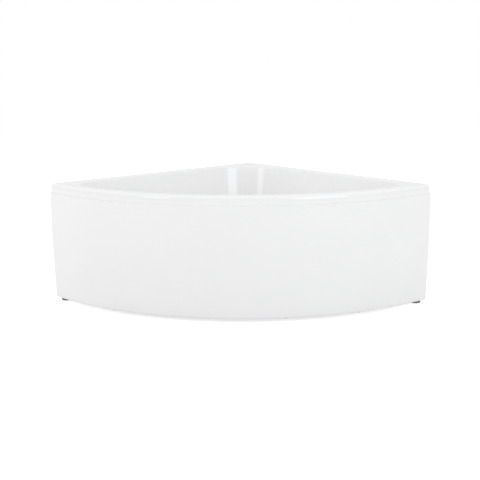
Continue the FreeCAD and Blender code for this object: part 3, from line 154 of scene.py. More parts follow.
def finish_mesh(name, bm, materials=(), smooth=True):
    """A mesh object from a bmesh, with its faces turned outwards."""
    bmesh.ops.recalc_face_normals(bm, faces=bm.faces)
    mesh = bpy.data.meshes.new(name)
    bm.to_mesh(mesh)
    bm.free()
    for face in mesh.polygons:
        face.use_smooth = smooth
    mesh.set_sharp_from_angle(angle=SHARP)
    for material in materials:
        mesh.materials.append(material)
    return add_object(name, mesh)


def settle(piece, body, slot, *nodes):
    """Says what the piece rides on and which nodes it stands for; the slot is not used."""
    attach(piece, body)
    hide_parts(*nodes)
    return piece


def add_ring(bm, points):
    return [bm.verts.new(point) for point in points]


def spun_ring(bm, place, height, count, reach):
    """A ring round a frame's axis at a height, whose radius is a function of the angle."""
    points = []
    for angle in arc(0, 360, count):
        radius = reach(angle)
        points.append(Vector((radius * cos(angle), radius * sin(angle), height)))
    return add_ring(bm, [place @ point for point in points])


def bridge(bm, lower, upper, closed=True, slot=0):
    """Faces between two rings of equal count, or between a ring and a single point."""
    count = max(len(lower), len(upper))
    for i in range(count if closed else count - 1):
        j = (i + 1) % count
        corners = (lower[i % len(lower)], lower[j % len(lower)],
                   upper[j % len(upper)], upper[i % len(upper)])
        face = bm.faces.new(dict.fromkeys(corners))
        face.material_index = slot


def join_rings(bm, rings, looped=False, closed=True, slot=0):
    """Faces from each ring to the next, and from the last to the first where the rings loop."""
    following = rings[1:] + rings[:1] if looped else rings[1:]
    for lower, upper in zip(rings, following):
        if len(lower) > 1 or len(upper) > 1:
            bridge(bm, lower, upper, closed, slot)
    return rings


def fill_flat(bm, loops, slot=0):
    """A level face between closed loops of vertices, the first outermost."""
    edges = []
    for loop in loops:
        for a, b in zip(loop, loop[1:] + loop[:1]):
            edges.append(bm.edges.get((a, b)) or bm.edges.new((a, b)))
    made = bmesh.ops.triangle_fill(bm, edges=edges, use_beauty=True, use_dissolve=False)
    for item in made["geom"]:
        if isinstance(item, bmesh.types.BMFace):
            item.material_index = slot


def arc(start, end, count, with_last=False):
    """Angles along an arc, in radians, from degrees."""
    steps = count + (1 if with_last else 0)
    return [radians(start + (end - start) * k / count) for k in range(steps)]


def facing(angle):
    """The level direction at an angle."""
    return Vector((cos(angle), sin(angle)))


def placement(origin, x_way, z_way):
    """The place of a frame with the given origin and unit directions of its X and Z."""
    ways = Matrix((x_way, z_way.cross(x_way), z_way)).transposed()
    return Matrix.Translation(origin) @ ways.to_4x4()


def shifted(place, x=0.0, z=0.0):
    return place @ Matrix.Translation((x, 0, z))


CORNER_ROUND_STEPS = 3
CORNER_ROUND_SHARE = 0.4


def rounded(profile, radius):
    """A closed profile of (radius, height) with its corners rounded, all but those on the axis."""
    found = []
    for k, corner in enumerate(profile):
        here = Vector(corner)
        if here.x < ON_AXIS:
            found.append(tuple(here))
            continue
        ends = []
        for other in (Vector(profile[k - 1]), Vector(profile[(k + 1) % len(profile)])):
            way = other - here
            ends.append(here + way.normalized() * min(radius, way.length * CORNER_ROUND_SHARE))
        for step in range(CORNER_ROUND_STEPS + 1):
            t = step / CORNER_ROUND_STEPS
            found.append(tuple(ends[0] * (1 - t) ** 2 + here * 2 * t * (1 - t) + ends[1] * t ** 2))
    return found


FLUTED_BAND = 1.5
FLUTE_SHAPE = 0.7


def turned(name, profile, place, materials=(), count=64, flutes=0, flute_depth=0.0, slot=0):
    """A turned solid from a closed profile of (radius, height); its widest wall may be fluted."""
    bm = bmesh.new()
    widest = max(radius for radius, height in profile)
    rings = []
    for radius, height in profile:
        if radius < ON_AXIS:
            rings.append(add_ring(bm, [place @ Vector((0, 0, height))]))
            continue
        depth = flute_depth if radius > widest - flute_depth * FLUTED_BAND else 0.0

        def reach(angle):
            return radius - depth * max(0.0, cos(flutes * angle)) ** FLUTE_SHAPE
        rings.append(spun_ring(bm, place, height, count, reach))
    join_rings(bm, rings, looped=True, slot=slot)
    return finish_mesh(name, bm, materials)


def rod(name, radius, low, high, place, soft=0.0, **options):
    """A plain round solid on a frame's axis."""
    profile = [(0, low), (radius, low), (radius, high), (0, high)]
    return turned(name, rounded(profile, soft) if soft else profile, place, **options)


def block(name, low, high, place, soft, steps=3):
    """A box with rounded edges between two corners."""
    bm = bmesh.new()
    bmesh.ops.create_cube(bm, size=1)
    for vertex in bm.verts:
        for i in range(3):
            vertex.co[i] = low[i] + (high[i] - low[i]) * (vertex.co[i] + 0.5)
    bmesh.ops.bevel(bm, geom=list(bm.edges), offset=soft, segments=steps, profile=0.5,
                    affect="EDGES")
    bmesh.ops.transform(bm, matrix=place, verts=bm.verts)
    return finish_mesh(name, bm)


def combine(piece, operation, *tools):
    """Joins tools to a piece, or cuts them from it, and deletes them."""
    for tool in tools:
        modifier = piece.modifiers.new("form", "BOOLEAN")
        modifier.operation = operation
        modifier.solver = "EXACT"
        modifier.object = tool
        bpy.context.view_layer.update()
        before = piece.data
        graph = bpy.context.evaluated_depsgraph_get()
        shaped = bpy.data.meshes.new_from_object(piece.evaluated_get(graph))
        piece.modifiers.clear()
        piece.data = shaped
        bpy.data.meshes.remove(before)
        bpy.data.objects.remove(tool, do_unlink=True)
    piece.data.name = piece.name
    piece.data.set_sharp_from_angle(angle=SHARP)
    return piece


OVERFLOW = placement(OVERFLOW_CENTRE, -TO_RIGHT, INTO_BASIN)
DRAIN = placement(DRAIN_CENTRE, TO_FRONT, UP)
DRAIN_SPOKES = placement(DRAIN_CENTRE, ALONG_X, UP) @ Matrix.Rotation(DRAIN_SPOKE_TURN, 4, "Z")


# ---- the basin's outline ----

def basin_outline():
    """The basin's mouth as (point, outward normal) pairs, anticlockwise from the right wall."""
    edge = HALF - RIM_AT_WALL
    front = PANEL_R - RIM_AT_FRONT
    end_x = edge - END_ROUND
    end_y = ARC - sqrt((front - END_ROUND) ** 2 - (end_x - ARC) ** 2)
    back = edge - BACK_ROUND
    meet = degrees(atan2(ARC - end_x, ARC - end_y))
    found = []

    def straight(start, end, normal):
        for k in range(WALL_STEPS):
            found.append((Vector(start).lerp(Vector(end), k / WALL_STEPS), Vector(normal)))

    def round_part(centre, radius, start, end, count):
        for angle in arc(start, end, count):
            found.append((Vector(centre) + facing(angle) * radius, facing(angle)))

    straight((edge, end_y), (edge, back), (1, 0))
    round_part((back, back), BACK_ROUND, 0, 90, BACK_STEPS)
    straight((back, edge), (end_y, edge), (0, 1))
    round_part((end_y, end_x), END_ROUND, 90, 180 + meet, END_STEPS)
    round_part((ARC, ARC), front, 180 + meet, 270 - meet, BASIN_FRONT_STEPS)
    round_part((end_x, end_y), END_ROUND, 270 - meet, 360, END_STEPS)
    return found


def section_round(centre, radius, start, end, steps):
    """(inset, height) points of a section's rounded corner."""
    return [(centre[0] + radius * cos(a), centre[1] + radius * sin(a))
            for a in arc(start, end, steps, True)]


def basin_ring(outline, inset, height):
    return [(p.x - n.x * inset, p.y - n.y * inset, height) for p, n in outline]


def basin_section(grow, top, floor, mouth_round, foot_round):
    """(inset, height) of the basin's wall from the rim to the floor, grown outwards by a wall."""
    slope = tan(DRAFT)
    lean = cos(DRAFT)

    def wall_inset(height):
        return (TOP - height) * slope - grow

    section = [(wall_inset(top), top)]
    if mouth_round:
        centre = (wall_inset(top - mouth_round) - mouth_round / lean, top - mouth_round)
        section = section_round(centre, mouth_round, 90, degrees(DRAFT), MOUTH_STEPS)
    centre_z = floor + foot_round
    tangent_z = centre_z - foot_round * sin(DRAFT)
    first = section[-1][1]
    for k in range(1, BASIN_WALL_STEPS):
        height = first + (tangent_z - first) * k / BASIN_WALL_STEPS
        section.append((wall_inset(height), height))
    centre = (wall_inset(centre_z) + foot_round / lean, centre_z)
    return section + section_round(centre, foot_round, 180 + degrees(DRAFT), 270,
                                   BASIN_FOOT_STEPS)


def circle(centre, radius, height, count=96):
    """A level ring of points, anticlockwise."""
    return [(centre.x + radius * cos(a), centre.y + radius * sin(a), height)
            for a in arc(0, 360, count)]


# ---- the lip's outline and profile ----

def lip_outline(radius, wall):
    """The rim's outer edge from the back corner on, as (point, normal, share of the front).

    The share is 0 along the walls, 1 along the front, and changes round the end corners.
    """
    low = ARC - radius
    turn = LIP_CORNER
    found = [(Vector((wall, wall)), Vector((1, 1)), 0.0)]
    for k in range(1, WALL_STEPS):
        x = wall + (low + turn - wall) * k / WALL_STEPS
        found.append((Vector((x, wall)), Vector((0, 1)), 0.0))
    for angle in arc(90, 180, CORNER_STEPS):
        point = Vector((low + turn, wall - turn)) + facing(angle) * turn
        found.append((point, facing(angle), degrees(angle) / 90 - 1))
    for k in range(LIP_RETURN_STEPS):
        y = wall - turn + (ARC - wall + turn) * k / LIP_RETURN_STEPS
        found.append((Vector((low, y)), Vector((-1, 0)), 1.0))
    for angle in arc(180, 225, LIP_FRONT_STEPS):
        found.append((Vector((ARC, ARC)) + facing(angle) * radius, facing(angle), 1.0))
    middle = facing(radians(225))
    mirrored = [(p.yx, n.yx, share) for p, n, share in reversed(found[1:])]
    return found + [(Vector((ARC, ARC)) + middle * radius, middle, 1.0)] + mirrored


def lip_ring(outline, wall_part, front_part):
    """One ring, from the (inset, height) of its wall points and of its front points."""
    ring = []
    for point, normal, share in outline:
        inset, height = (a + (b - a) * share for a, b in zip(wall_part, front_part))
        ring.append((point.x - normal.x * inset, point.y - normal.y * inset, height))
    return ring


def lip_sections():
    """(wall point, front point) pairs of the lip's profile, from the rim down and up inside."""
    low, soft = TOP - LIP_HEIGHT, LIP_FOOT_ROUND
    front_end = 172
    front = [(LIP_LEAN + LIP_ROUND + LIP_TOP_STRIP, TOP)]
    front += section_round((LIP_LEAN + LIP_ROUND, TOP - LIP_ROUND), LIP_ROUND, 90, front_end,
                           CORNER_STEPS)
    wall = [(EDGE_SOFT + LIP_TOP_STRIP, TOP)]
    wall += section_round((EDGE_SOFT, TOP - EDGE_SOFT), EDGE_SOFT, 90, 180, CORNER_STEPS)
    foot = section_round((soft, low + soft), soft, 180, 270, LIP_FOOT_STEPS)
    foot += [(SHELL, low), (SHELL, TOP - SHELL - LIP_INSIDE_DROP)]
    return list(zip(wall, front)) + [(part, part) for part in foot]


# ---- the shell ----

def drain_recess():
    """(radius, height) from the basin's floor down the drain's recess and through its hole."""
    low = BASIN_FLOOR - DRAIN_RECESS_DEPTH
    soft = 0.0006
    strip, top_turn, wall_lean, foot_turn, hole_turn = 0.0020, 0.0008, 0.0004, 0.0012, 0.001
    return [
        (DRAIN_RECESS + strip, BASIN_FLOOR), (DRAIN_RECESS + top_turn, BASIN_FLOOR),
        (DRAIN_RECESS, BASIN_FLOOR - soft), (DRAIN_RECESS - wall_lean, low + soft),
        (DRAIN_RECESS - foot_turn, low), (DRAIN_HOLE + hole_turn, low),
        (DRAIN_HOLE, low - soft), (DRAIN_HOLE, BASIN_UNDER),
    ]


def cut_overflow_seat(shell, materials):
    """The overflow's boss behind the wall, its flat seat in front and the opening through both."""
    boss = rod("boss", OVERFLOW_SEAT, -SHELL, 0, OVERFLOW, materials=materials, slot=1)
    seat = rod("seat", OVERFLOW_SEAT, 0, FOOT_ROUND, OVERFLOW, materials=materials)
    opening = rod("opening", OVERFLOW_HOLE, -2 * SHELL, 2 * SHELL, OVERFLOW, materials=materials)
    combine(shell, "UNION", boss)
    combine(shell, "DIFFERENCE", seat, opening)


def build_shell(acrylic, laminate):
    """The acrylic shell: rim, lip, basin, drain recess and overflow seat, laminated behind."""
    bm = bmesh.new()
    outline = basin_outline()
    lip = lip_outline(LIP_R, HALF)

    def basin_rings(sections):
        return [add_ring(bm, basin_ring(outline, inset, height)) for inset, height in sections]

    inner = [(-RIM_STRIP, TOP)]
    inner += basin_section(0, TOP, BASIN_FLOOR, MOUTH_ROUND, FOOT_ROUND)
    inner.append((inner[-1][0] + FLOOR_STRIP, BASIN_FLOOR))
    basin = join_rings(bm, basin_rings(inner))
    recess = join_rings(bm, [add_ring(bm, circle(DRAIN_CENTRE, radius, height))
                             for radius, height in drain_recess()])
    fill_flat(bm, [basin[-1], recess[0]])

    edge = join_rings(bm, [add_ring(bm, lip_ring(lip, wall, front))
                           for wall, front in lip_sections()])
    fill_flat(bm, [edge[0], basin[0]])

    under = TOP - SHELL
    outer = [(-RIM_STRIP - SHELL, under)]
    outer += basin_section(SHELL, under, BASIN_UNDER, 0, FOOT_ROUND + SHELL)
    behind = join_rings(bm, basin_rings(outer), slot=1)
    fill_flat(bm, [behind[-1], recess[-1]], slot=1)
    inside = (SHELL + UNDER_STRIP, under)
    rim_under = add_ring(bm, lip_ring(lip, inside, inside))
    bridge(bm, edge[-1], rim_under, slot=1)
    fill_flat(bm, [rim_under, behind[0]], slot=1)

    materials = (acrylic, laminate)
    shell = finish_mesh("acrylic_shell", bm, materials)
    cut_overflow_seat(shell, materials)
    return settle(shell, "tub", "acrylic", "tub_shell")


# ---- the front panel ----

def panel_path():
    """The panel's outline as (point, inset direction, share of the corner round, of the taper).

    It runs out along the right end's flange, along the return, round the front and back likewise.
    """
    low = ARC - PANEL_R
    turn = PANEL_END_ROUND
    end = []
    for k in range(FLANGE_STEPS):
        share = k / FLANGE_STEPS
        y = low + PANEL_END_FLANGE + (turn + PANEL_TAPER - PANEL_END_FLANGE) * k / FLANGE_STEPS
        end.append((Vector((HALF, y)), Vector((-1, 0)), 1.0, share * FLANGE_TAPER_SHARE))
    for angle in arc(0, -90, CORNER_STEPS):
        point = Vector((HALF - turn, low + turn)) + facing(angle) * turn
        end.append((point, -facing(angle), max(0.0, 1 + degrees(angle) / 90), 1.0))
    for k in range(PANEL_RETURN_STEPS):
        x = HALF - turn + (ARC - HALF + turn) * k / PANEL_RETURN_STEPS
        end.append((Vector((x, low)), Vector((0, 1)), 0.0, 1.0))
    found = list(end)
    for angle in arc(270, 180, PANEL_FRONT_STEPS, True):
        point = Vector((ARC, ARC)) + facing(angle) * PANEL_R
        found.append((point, -facing(angle), 0.0, 1.0))
    for point, inset, corner, taper in reversed(end):
        found.append((point.yx, inset.yx, corner, taper))
    return found


def panel_ring(path, inset, height):
    """One ring at a height, drawn in by the taper, the crown and the round of the end corners."""
    rise = height - PANEL_LOW
    share = rise / (PANEL_HIGH - PANEL_LOW)
    drawn_in = PANEL_TAPER * (1 - share) - PANEL_CROWN * 4 * share * (1 - share)
    corner_in = 0.0
    if rise < PANEL_CORNER_ROUND:
        left = PANEL_CORNER_ROUND - rise
        corner_in = PANEL_CORNER_ROUND - sqrt(PANEL_CORNER_ROUND ** 2 - left ** 2)
    ring = []
    for point, direction, corner, taper in path:
        to_wall, inwards = Vector((0, 1)), Vector((1, 0))
        if point.x > point.y:
            to_wall, inwards = inwards, to_wall
        if point.x < ARC and point.y < ARC:
            inwards = direction
        moved = (point + direction * inset + inwards * (drawn_in * taper)
                 - to_wall * (corner_in * corner))
        ring.append((moved.x, moved.y, height))
    return ring


def panel_section():
    """(inset, height) round the panel's section: from its foot up outside and down inside."""
    low, high = PANEL_LOW, PANEL_HIGH
    edge, skin, soft = PANEL_EDGE_ROUND, PANEL_SKIN, PANEL_INNER_SOFT
    tall = high - low - 2 * skin - 2 * soft
    section = [(PANEL_FOOT_FLANGE, low)]
    section += section_round((edge, low + edge), edge, 270, 180, PANEL_EDGE_STEPS)
    section += [(0, low + (high - low) * k / PANEL_SKIN_STEPS)
                for k in range(1, PANEL_SKIN_STEPS)]
    section += section_round((edge, high - edge), edge, 180, 90, PANEL_EDGE_STEPS)
    section += [(PANEL_TOP_FLANGE, high), (PANEL_TOP_FLANGE, high - skin),
                (skin + soft, high - skin)]
    section += [(skin, high - skin - soft - tall * k / PANEL_INNER_STEPS)
                for k in range(PANEL_INNER_STEPS + 1)]
    return section + [(skin + soft, low + skin), (PANEL_FOOT_FLANGE, low + skin)]


def build_panel(acrylic, laminate):
    """The bowed panel: a moulded skin with flanges along its top, foot and ends."""
    bm = bmesh.new()
    path = panel_path()
    rings = [add_ring(bm, panel_ring(path, inset, height)) for inset, height in panel_section()]
    join_rings(bm, rings, looped=True, closed=False)
    bm.verts.ensure_lookup_table()
    for end in (0, -1):
        bm.faces.new([ring[end] for ring in rings])
    panel = finish_mesh("bowed_panel", bm, (acrylic, laminate))
    for face in panel.data.polygons:
        centre = face.center
        from_arc = Vector((centre.x - ARC, centre.y - ARC, 0))
        reach = hypot(min(from_arc.x, 0), min(from_arc.y, 0))
        behind = reach < PANEL_R - PANEL_SKIN / 2 and face.normal.dot(from_arc) < 0
        if behind and centre.z < PANEL_HIGH - PANEL_SKIN:
            face.material_index = 1
    return settle(panel, "tub", "acrylic", "front_panel")


# ---- overflow ----

TURNED_FINE = 96


def build_overflow_ring(chrome):
    """The overflow's ring with its bar and hub, bored for the spindle and the two screws."""
    inner, outer, thick = 0.021, 0.035, 0.004
    edge_height, bevel, soft = 0.0015, 0.003, 0.0008
    bar_overlap, bar_half, bar_soft = 0.001, 0.0045, 0.0005
    hub_radius, hub_soft = 0.008, 0.0004
    spindle_bore, screw_bore, screw_offset, screw_count = 0.00405, 0.0018, 0.017, 24
    profile = [(inner, 0), (outer, 0), (outer, edge_height), (outer - bevel, thick),
               (inner, thick)]
    ring = turned("overflow_ring", rounded(profile, soft), OVERFLOW, (chrome,), TURNED_FINE)
    reach = inner + bar_overlap
    bar = block("bar", (-reach, -bar_half, 0), (reach, bar_half, thick), OVERFLOW, bar_soft)
    hub = rod("hub", hub_radius, 0, thick, OVERFLOW, hub_soft)
    combine(ring, "UNION", bar, hub)
    bores = [rod("bore", spindle_bore, -thick, 2 * thick, OVERFLOW)]
    for side in (-1, 1):
        place = shifted(OVERFLOW, side * screw_offset)
        bores.append(rod("bore", screw_bore, -thick, 2 * thick, place, count=screw_count))
    combine(ring, "DIFFERENCE", *bores)
    settle(ring, "tub", "chrome", "overflow_rosette")


def build_knob(chrome):
    """The overflow's turning knob: a disc on a spindle, with a grip across its face."""
    low, rim, radius = 0.007, 0.012, 0.027
    spindle, spindle_end = 0.004, -0.020
    edge_drop, edge_in, crown_drop, flat, soft = 0.0006, 0.002, 0.0002, 0.012, 0.0009
    grip_reach, grip_half, grip_sink, grip_high, grip_soft = 0.023, 0.004, 0.001, 0.006, 0.0022
    profile = [(0, spindle_end), (spindle, spindle_end), (spindle, low), (radius, low),
               (radius, rim - edge_drop), (radius - edge_in, rim - crown_drop), (flat, rim),
               (0, rim)]
    knob = turned("turning_knob", rounded(profile, soft), OVERFLOW, (chrome,), TURNED_FINE)
    grip = block("grip", (-grip_reach, -grip_half, rim - grip_sink),
                 (grip_reach, grip_half, rim + grip_high), OVERFLOW, grip_soft, 4)
    combine(knob, "UNION", grip)
    settle(knob, "knob", "chrome", "overflow_knob")


# ---- drain and plug ----

DRAIN_SEAL = 0.001
FLANGE_THICK = 0.0025
FLANGE_LOW = BASIN_FLOOR - DRAIN_RECESS_DEPTH + DRAIN_SEAL
FLANGE_TOP = FLANGE_LOW + FLANGE_THICK


def build_drain_ring(chrome):
    """The drain's flange and sleeve, with three spokes and the hub that guides the plug's stem."""
    foot = BASIN_UNDER - 0.008
    bore, wall, radius, bevel, edge, soft = 0.022, 0.002, 0.035, 0.002, 0.001, 0.0006
    spoke_half, spoke_start, spoke_overlap, spoke_soft = 0.0015, 0.001, 0.001, 0.0004
    spoke_low, spoke_high = foot + 0.001, foot + 0.005
    hub_radius, hub_bore, hub_count = 0.006, 0.00305, 32
    hub_low, hub_high = foot - 0.002, foot + 0.008
    bore_low, bore_high = foot - 0.01, foot + 0.02
    profile = [(bore, FLANGE_TOP), (radius - bevel, FLANGE_TOP), (radius, FLANGE_LOW + edge),
               (radius, FLANGE_LOW), (bore + wall, FLANGE_LOW), (bore + wall, foot), (bore, foot)]
    flange = turned("drain_ring", rounded(profile, soft), DRAIN_SPOKES, (chrome,), TURNED_FINE)
    for number in range(3):
        place = DRAIN_SPOKES @ Matrix.Rotation(radians(120 * number), 4, "Z")
        spoke = block("spoke", (spoke_start, -spoke_half, spoke_low),
                      (bore + spoke_overlap, spoke_half, spoke_high), place, spoke_soft)
        combine(flange, "UNION", spoke)
    hub = rod("hub", hub_radius, hub_low, hub_high, DRAIN_SPOKES, spoke_soft, count=hub_count)
    combine(flange, "UNION", hub)
    hole = rod("bore", hub_bore, bore_low, bore_high, DRAIN_SPOKES, count=hub_count)
    combine(flange, "DIFFERENCE", hole)
    settle(flange, "tub", "chrome", "drain_flange")


def build_plug(chrome):
    """The domed plug on its stem."""
    stem_low, crown = (corner.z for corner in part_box("drain_plug"))
    gap, edge_high = 0.0003, 0.0015
    under = FLANGE_TOP + gap
    rim = under + edge_high
    cap, cap_wall, stem, stem_chamfer, soft, steps = 0.029, 0.004, 0.003, 0.0005, 0.0006, 12
    rise = crown - rim
    sphere = (cap ** 2 + rise ** 2) / (2 * rise)
    dome = []
    for k in range(1, steps):
        reach = cap * (1 - k / steps)
        dome.append((reach, crown - sphere + sqrt(sphere ** 2 - reach ** 2)))
    per_corner = CORNER_ROUND_STEPS + 1
    corners = rounded([(cap - cap_wall, under), (cap, under), (cap, rim), dome[0]], soft)
    profile = [(0, stem_low), (stem - stem_chamfer, stem_low), (stem, stem_low + stem_chamfer),
               (stem, under)]
    profile += corners[per_corner:3 * per_corner] + dome[1:] + [(0, crown)]
    plug = turned("domed_plug", profile, DRAIN_SPOKES, (chrome,), TURNED_FINE)
    settle(plug, "plug", "chrome", "drain_plug")


# ---- feet and nuts ----

THREAD_PITCH = 0.0015
THREAD_DEPTH = 0.0008
THREAD_COUNT = 20
THREAD_STEPS_A_TURN = 4
STUD_CHAMFER = 0.001
STUD_CHAMFER_SLOPE = 0.6
STUD_RADIUS = 0.005
FEET = [f"foot_{number}" for number in range(1, 6)]


def middle_of(node):
    low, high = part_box(node)
    return Matrix.Translation(((low.x + high.x) / 2, (low.y + high.y) / 2, 0))


def threaded_stud(name, radius, low, high, place, material):
    """A stud with a cut thread and chamfered ends."""
    bm = bmesh.new()
    steps = round((high - low) / (THREAD_PITCH / THREAD_STEPS_A_TURN))
    rings = []
    for step in range(steps + 1):
        height = low + (high - low) * step / steps
        chamfer = max(0.0, STUD_CHAMFER - min(height - low, high - height))

        def reach(angle):
            phase = (height / THREAD_PITCH - angle / (2 * pi)) % 1
            groove = THREAD_DEPTH * (1 - abs(2 * phase - 1))
            return radius - groove - chamfer * STUD_CHAMFER_SLOPE
        rings.append(spun_ring(bm, place, height, THREAD_COUNT, reach))
    join_rings(bm, rings)
    bm.faces.new(rings[0])
    bm.faces.new(rings[-1])
    return finish_mesh(name, bm, (material,))


def ribbed_pad(name, place, material):
    """A foot's pad: a ribbed cone frustum with a recess and a hole for the stud."""
    radius, high, sole, soft = 0.020, 0.010, 0.004, 0.0005
    edge, bevel, recess, recess_foot, recess_depth = 0.0015, 0.003, 0.008, 0.0075, 0.0015
    ribs, rib_depth = 24, 0.0008
    profile = [(0, 0), (radius - edge, 0), (radius, edge), (radius, high / 2),
               (radius - bevel, high), (recess, high), (recess_foot, high - recess_depth),
               (STUD_RADIUS, high - recess_depth), (STUD_RADIUS, sole), (0, sole)]
    return turned(name, rounded(profile, soft), place, (material,), TURNED_FINE, ribs, rib_depth)


def build_feet(plastic, zinc):
    """Each levelling foot: a ribbed plastic pad and a threaded stud."""
    for number, body in enumerate(FEET, start=1):
        place = middle_of(f"foot_pad_{number}")
        pad = ribbed_pad(f"ribbed_pad_{number}", place, plastic)
        settle(pad, body, "foot_plastic", f"foot_pad_{number}")
        low, high = (corner.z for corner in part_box(f"foot_stud_{number}"))
        stud = threaded_stud(f"threaded_stud_{number}", STUD_RADIUS, low, high, place, zinc)
        settle(stud, body, "zinc_steel", f"foot_stud_{number}")


def add_nut(bm, place, low, high, corner_radius, bore):
    """A hexagon nut with chamfered corners and bore."""
    count, crown_share, bore_edge = 72, 0.98, 0.0004
    flat_radius = corner_radius * cos(radians(30))
    crown = flat_radius * crown_share
    fall = (corner_radius - crown) * tan(radians(30))
    rings = []
    heights = [(low + fall * s, s) for s in (0, 0.5, 1)]
    heights += [(high - fall * s, s) for s in (1, 0.5, 0)]
    for height, share in heights:
        def reach(angle):
            across = (degrees(angle) % 60) - 30
            hexagon = flat_radius / cos(radians(across))
            return min(hexagon, crown + (corner_radius - crown) * share)
        rings.append(spun_ring(bm, place, height, count, reach))
    for height, inner in ((high, bore + bore_edge), (high - bore_edge, bore),
                          (low + bore_edge, bore), (low, bore + bore_edge)):
        rings.append(spun_ring(bm, place, height, count, lambda angle: inner))
    join_rings(bm, rings, looped=True)


def build_nuts(zinc):
    """The nuts welded under the frame and those that lock the studs."""
    corner_radius, bore = 0.0092, 0.00505
    for node in ("weld_nuts", "lock_nuts"):
        low, high = (corner.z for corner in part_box(node))
        bm = bmesh.new()
        for number in range(1, len(FEET) + 1):
            add_nut(bm, middle_of(f"foot_pad_{number}"), low, high, corner_radius, bore)
        settle(finish_mesh(f"hexagon_{node}", bm, (zinc,)), "tub", "zinc_steel", node)


# ---- trap, hose and their nuts ----

COLLAR_THICK = 0.004
WASTE_BOWL = 0.039
TAIL_LENGTH = 0.020
TAIL_END = BASIN_UNDER - COLLAR_THICK - WASTE_BOWL - TAIL_LENGTH
PORT_Z = BASIN_UNDER - 0.035
WASTE_PORT_REACH = 0.034
OVERFLOW_PORT = Vector((0, -0.036, -0.0245))
TRAP_HEIGHT = 0.062
STUB_REACH = 0.062
OUTLET_DROP = 0.038
NUT_BORE = 0.0203
NUT_OUTER = 0.028
NUT_SHOULDER = 0.025


def fluted(node, profile, place, plastic, soft=0.0007, count=96, flutes=12, depth=0.0014):
    """A turned piece of the waste with flutes for the hand round its widest wall."""
    piece = turned(f"fluted_{node}", rounded(profile, soft), place, (plastic,), count, flutes,
                   depth)
    settle(piece, "tub", "waste_plastic", node)


def build_trap_nut(plastic):
    low, shoulder, high = -0.004, 0.012, 0.015
    profile = [(NUT_BORE, low), (NUT_OUTER, low), (NUT_OUTER, shoulder), (NUT_SHOULDER, high),
               (NUT_BORE, high)]
    fluted("trap_nut", profile, shifted(DRAIN, z=TAIL_END), plastic)


def build_trap_cap(plastic):
    """The cap that closes the trap's foot, with its plug inside the trap."""
    base = TAIL_END - TRAP_HEIGHT
    radius, sole, plug, thick, bevel, inside = 0.040, 0.034, 0.0367, 0.008, 0.005, 0.005
    profile = [(0, base - thick), (sole, base - thick), (radius, base - bevel), (radius, base),
               (plug, base), (plug, base + inside), (0, base + inside)]
    fluted("trap_cap", profile, DRAIN, plastic, count=144, flutes=18, depth=0.0012)


def build_outlet_nut(plastic):
    """The nut on the trap's sideways stub, which holds the outlet pipe."""
    stub_bore, low, shoulder, high = 0.022, -0.012, 0.004, 0.007
    stub_end = Vector((DRAIN_CENTRE.x, DRAIN_CENTRE.y + STUB_REACH, TAIL_END - OUTLET_DROP))
    sideways = placement(stub_end, ALONG_X, ALONG_Y)
    profile = [(stub_bore, low), (NUT_OUTER, low), (NUT_OUTER, shoulder), (NUT_SHOULDER, high),
               (NUT_BORE, high), (NUT_BORE, 0), (stub_bore, 0)]
    fluted("outlet_nut", profile, sideways, plastic)


def build_hose_nut(node, port, way, plastic):
    """A nut over one end of the hose, whose axis follows the hose away from its port."""
    bore, outer, crown, half, shoulder, set_on = 0.0125, 0.0165, 0.0145, 0.008, 0.004, 0.012
    along = placement(port + way * set_on, TO_RIGHT, way)
    profile = [(bore, -half), (outer, -half), (outer, shoulder), (crown, half), (bore, half)]
    fluted(node, profile, along, plastic, soft=0.0006, depth=0.001)


def smooth_line(points):
    """Close points along the smooth curve that the given points control."""
    curve = bpy.data.curves.new("hose_line", "CURVE")
    curve.dimensions = "3D"
    curve.resolution_u = 160
    spline = curve.splines.new("NURBS")
    spline.points.add(len(points) - 1)
    for control, point in zip(spline.points, points):
        control.co = (*point, 1)
    spline.order_u = 3
    spline.use_endpoint_u = True
    holder = bpy.data.objects.new("hose_line", curve)
    line = bpy.data.meshes.new_from_object(holder)
    found = [vertex.co.copy() for vertex in line.vertices]
    bpy.data.objects.remove(holder)
    bpy.data.curves.remove(curve)
    bpy.data.meshes.remove(line)
    return found


def lengths_along(line):
    """The length of a line of points up to each of them."""
    lengths = [0.0]
    for before, after in zip(line, line[1:]):
        lengths.append(lengths[-1] + (after - before).length)
    return lengths


def stations(line, lengths, steps):
    """(length so far, centre, direction) at equal steps along a line of points."""
    place = 0
    for step in range(steps + 1):
        reach = lengths[-1] * step / steps
        while place < len(line) - 2 and lengths[place + 1] < reach:
            place += 1
        share = (reach - lengths[place]) / (lengths[place + 1] - lengths[place])
        centre = line[place].lerp(line[place + 1], min(1.0, share))
        yield reach, centre, (line[place + 1] - line[place]).normalized()


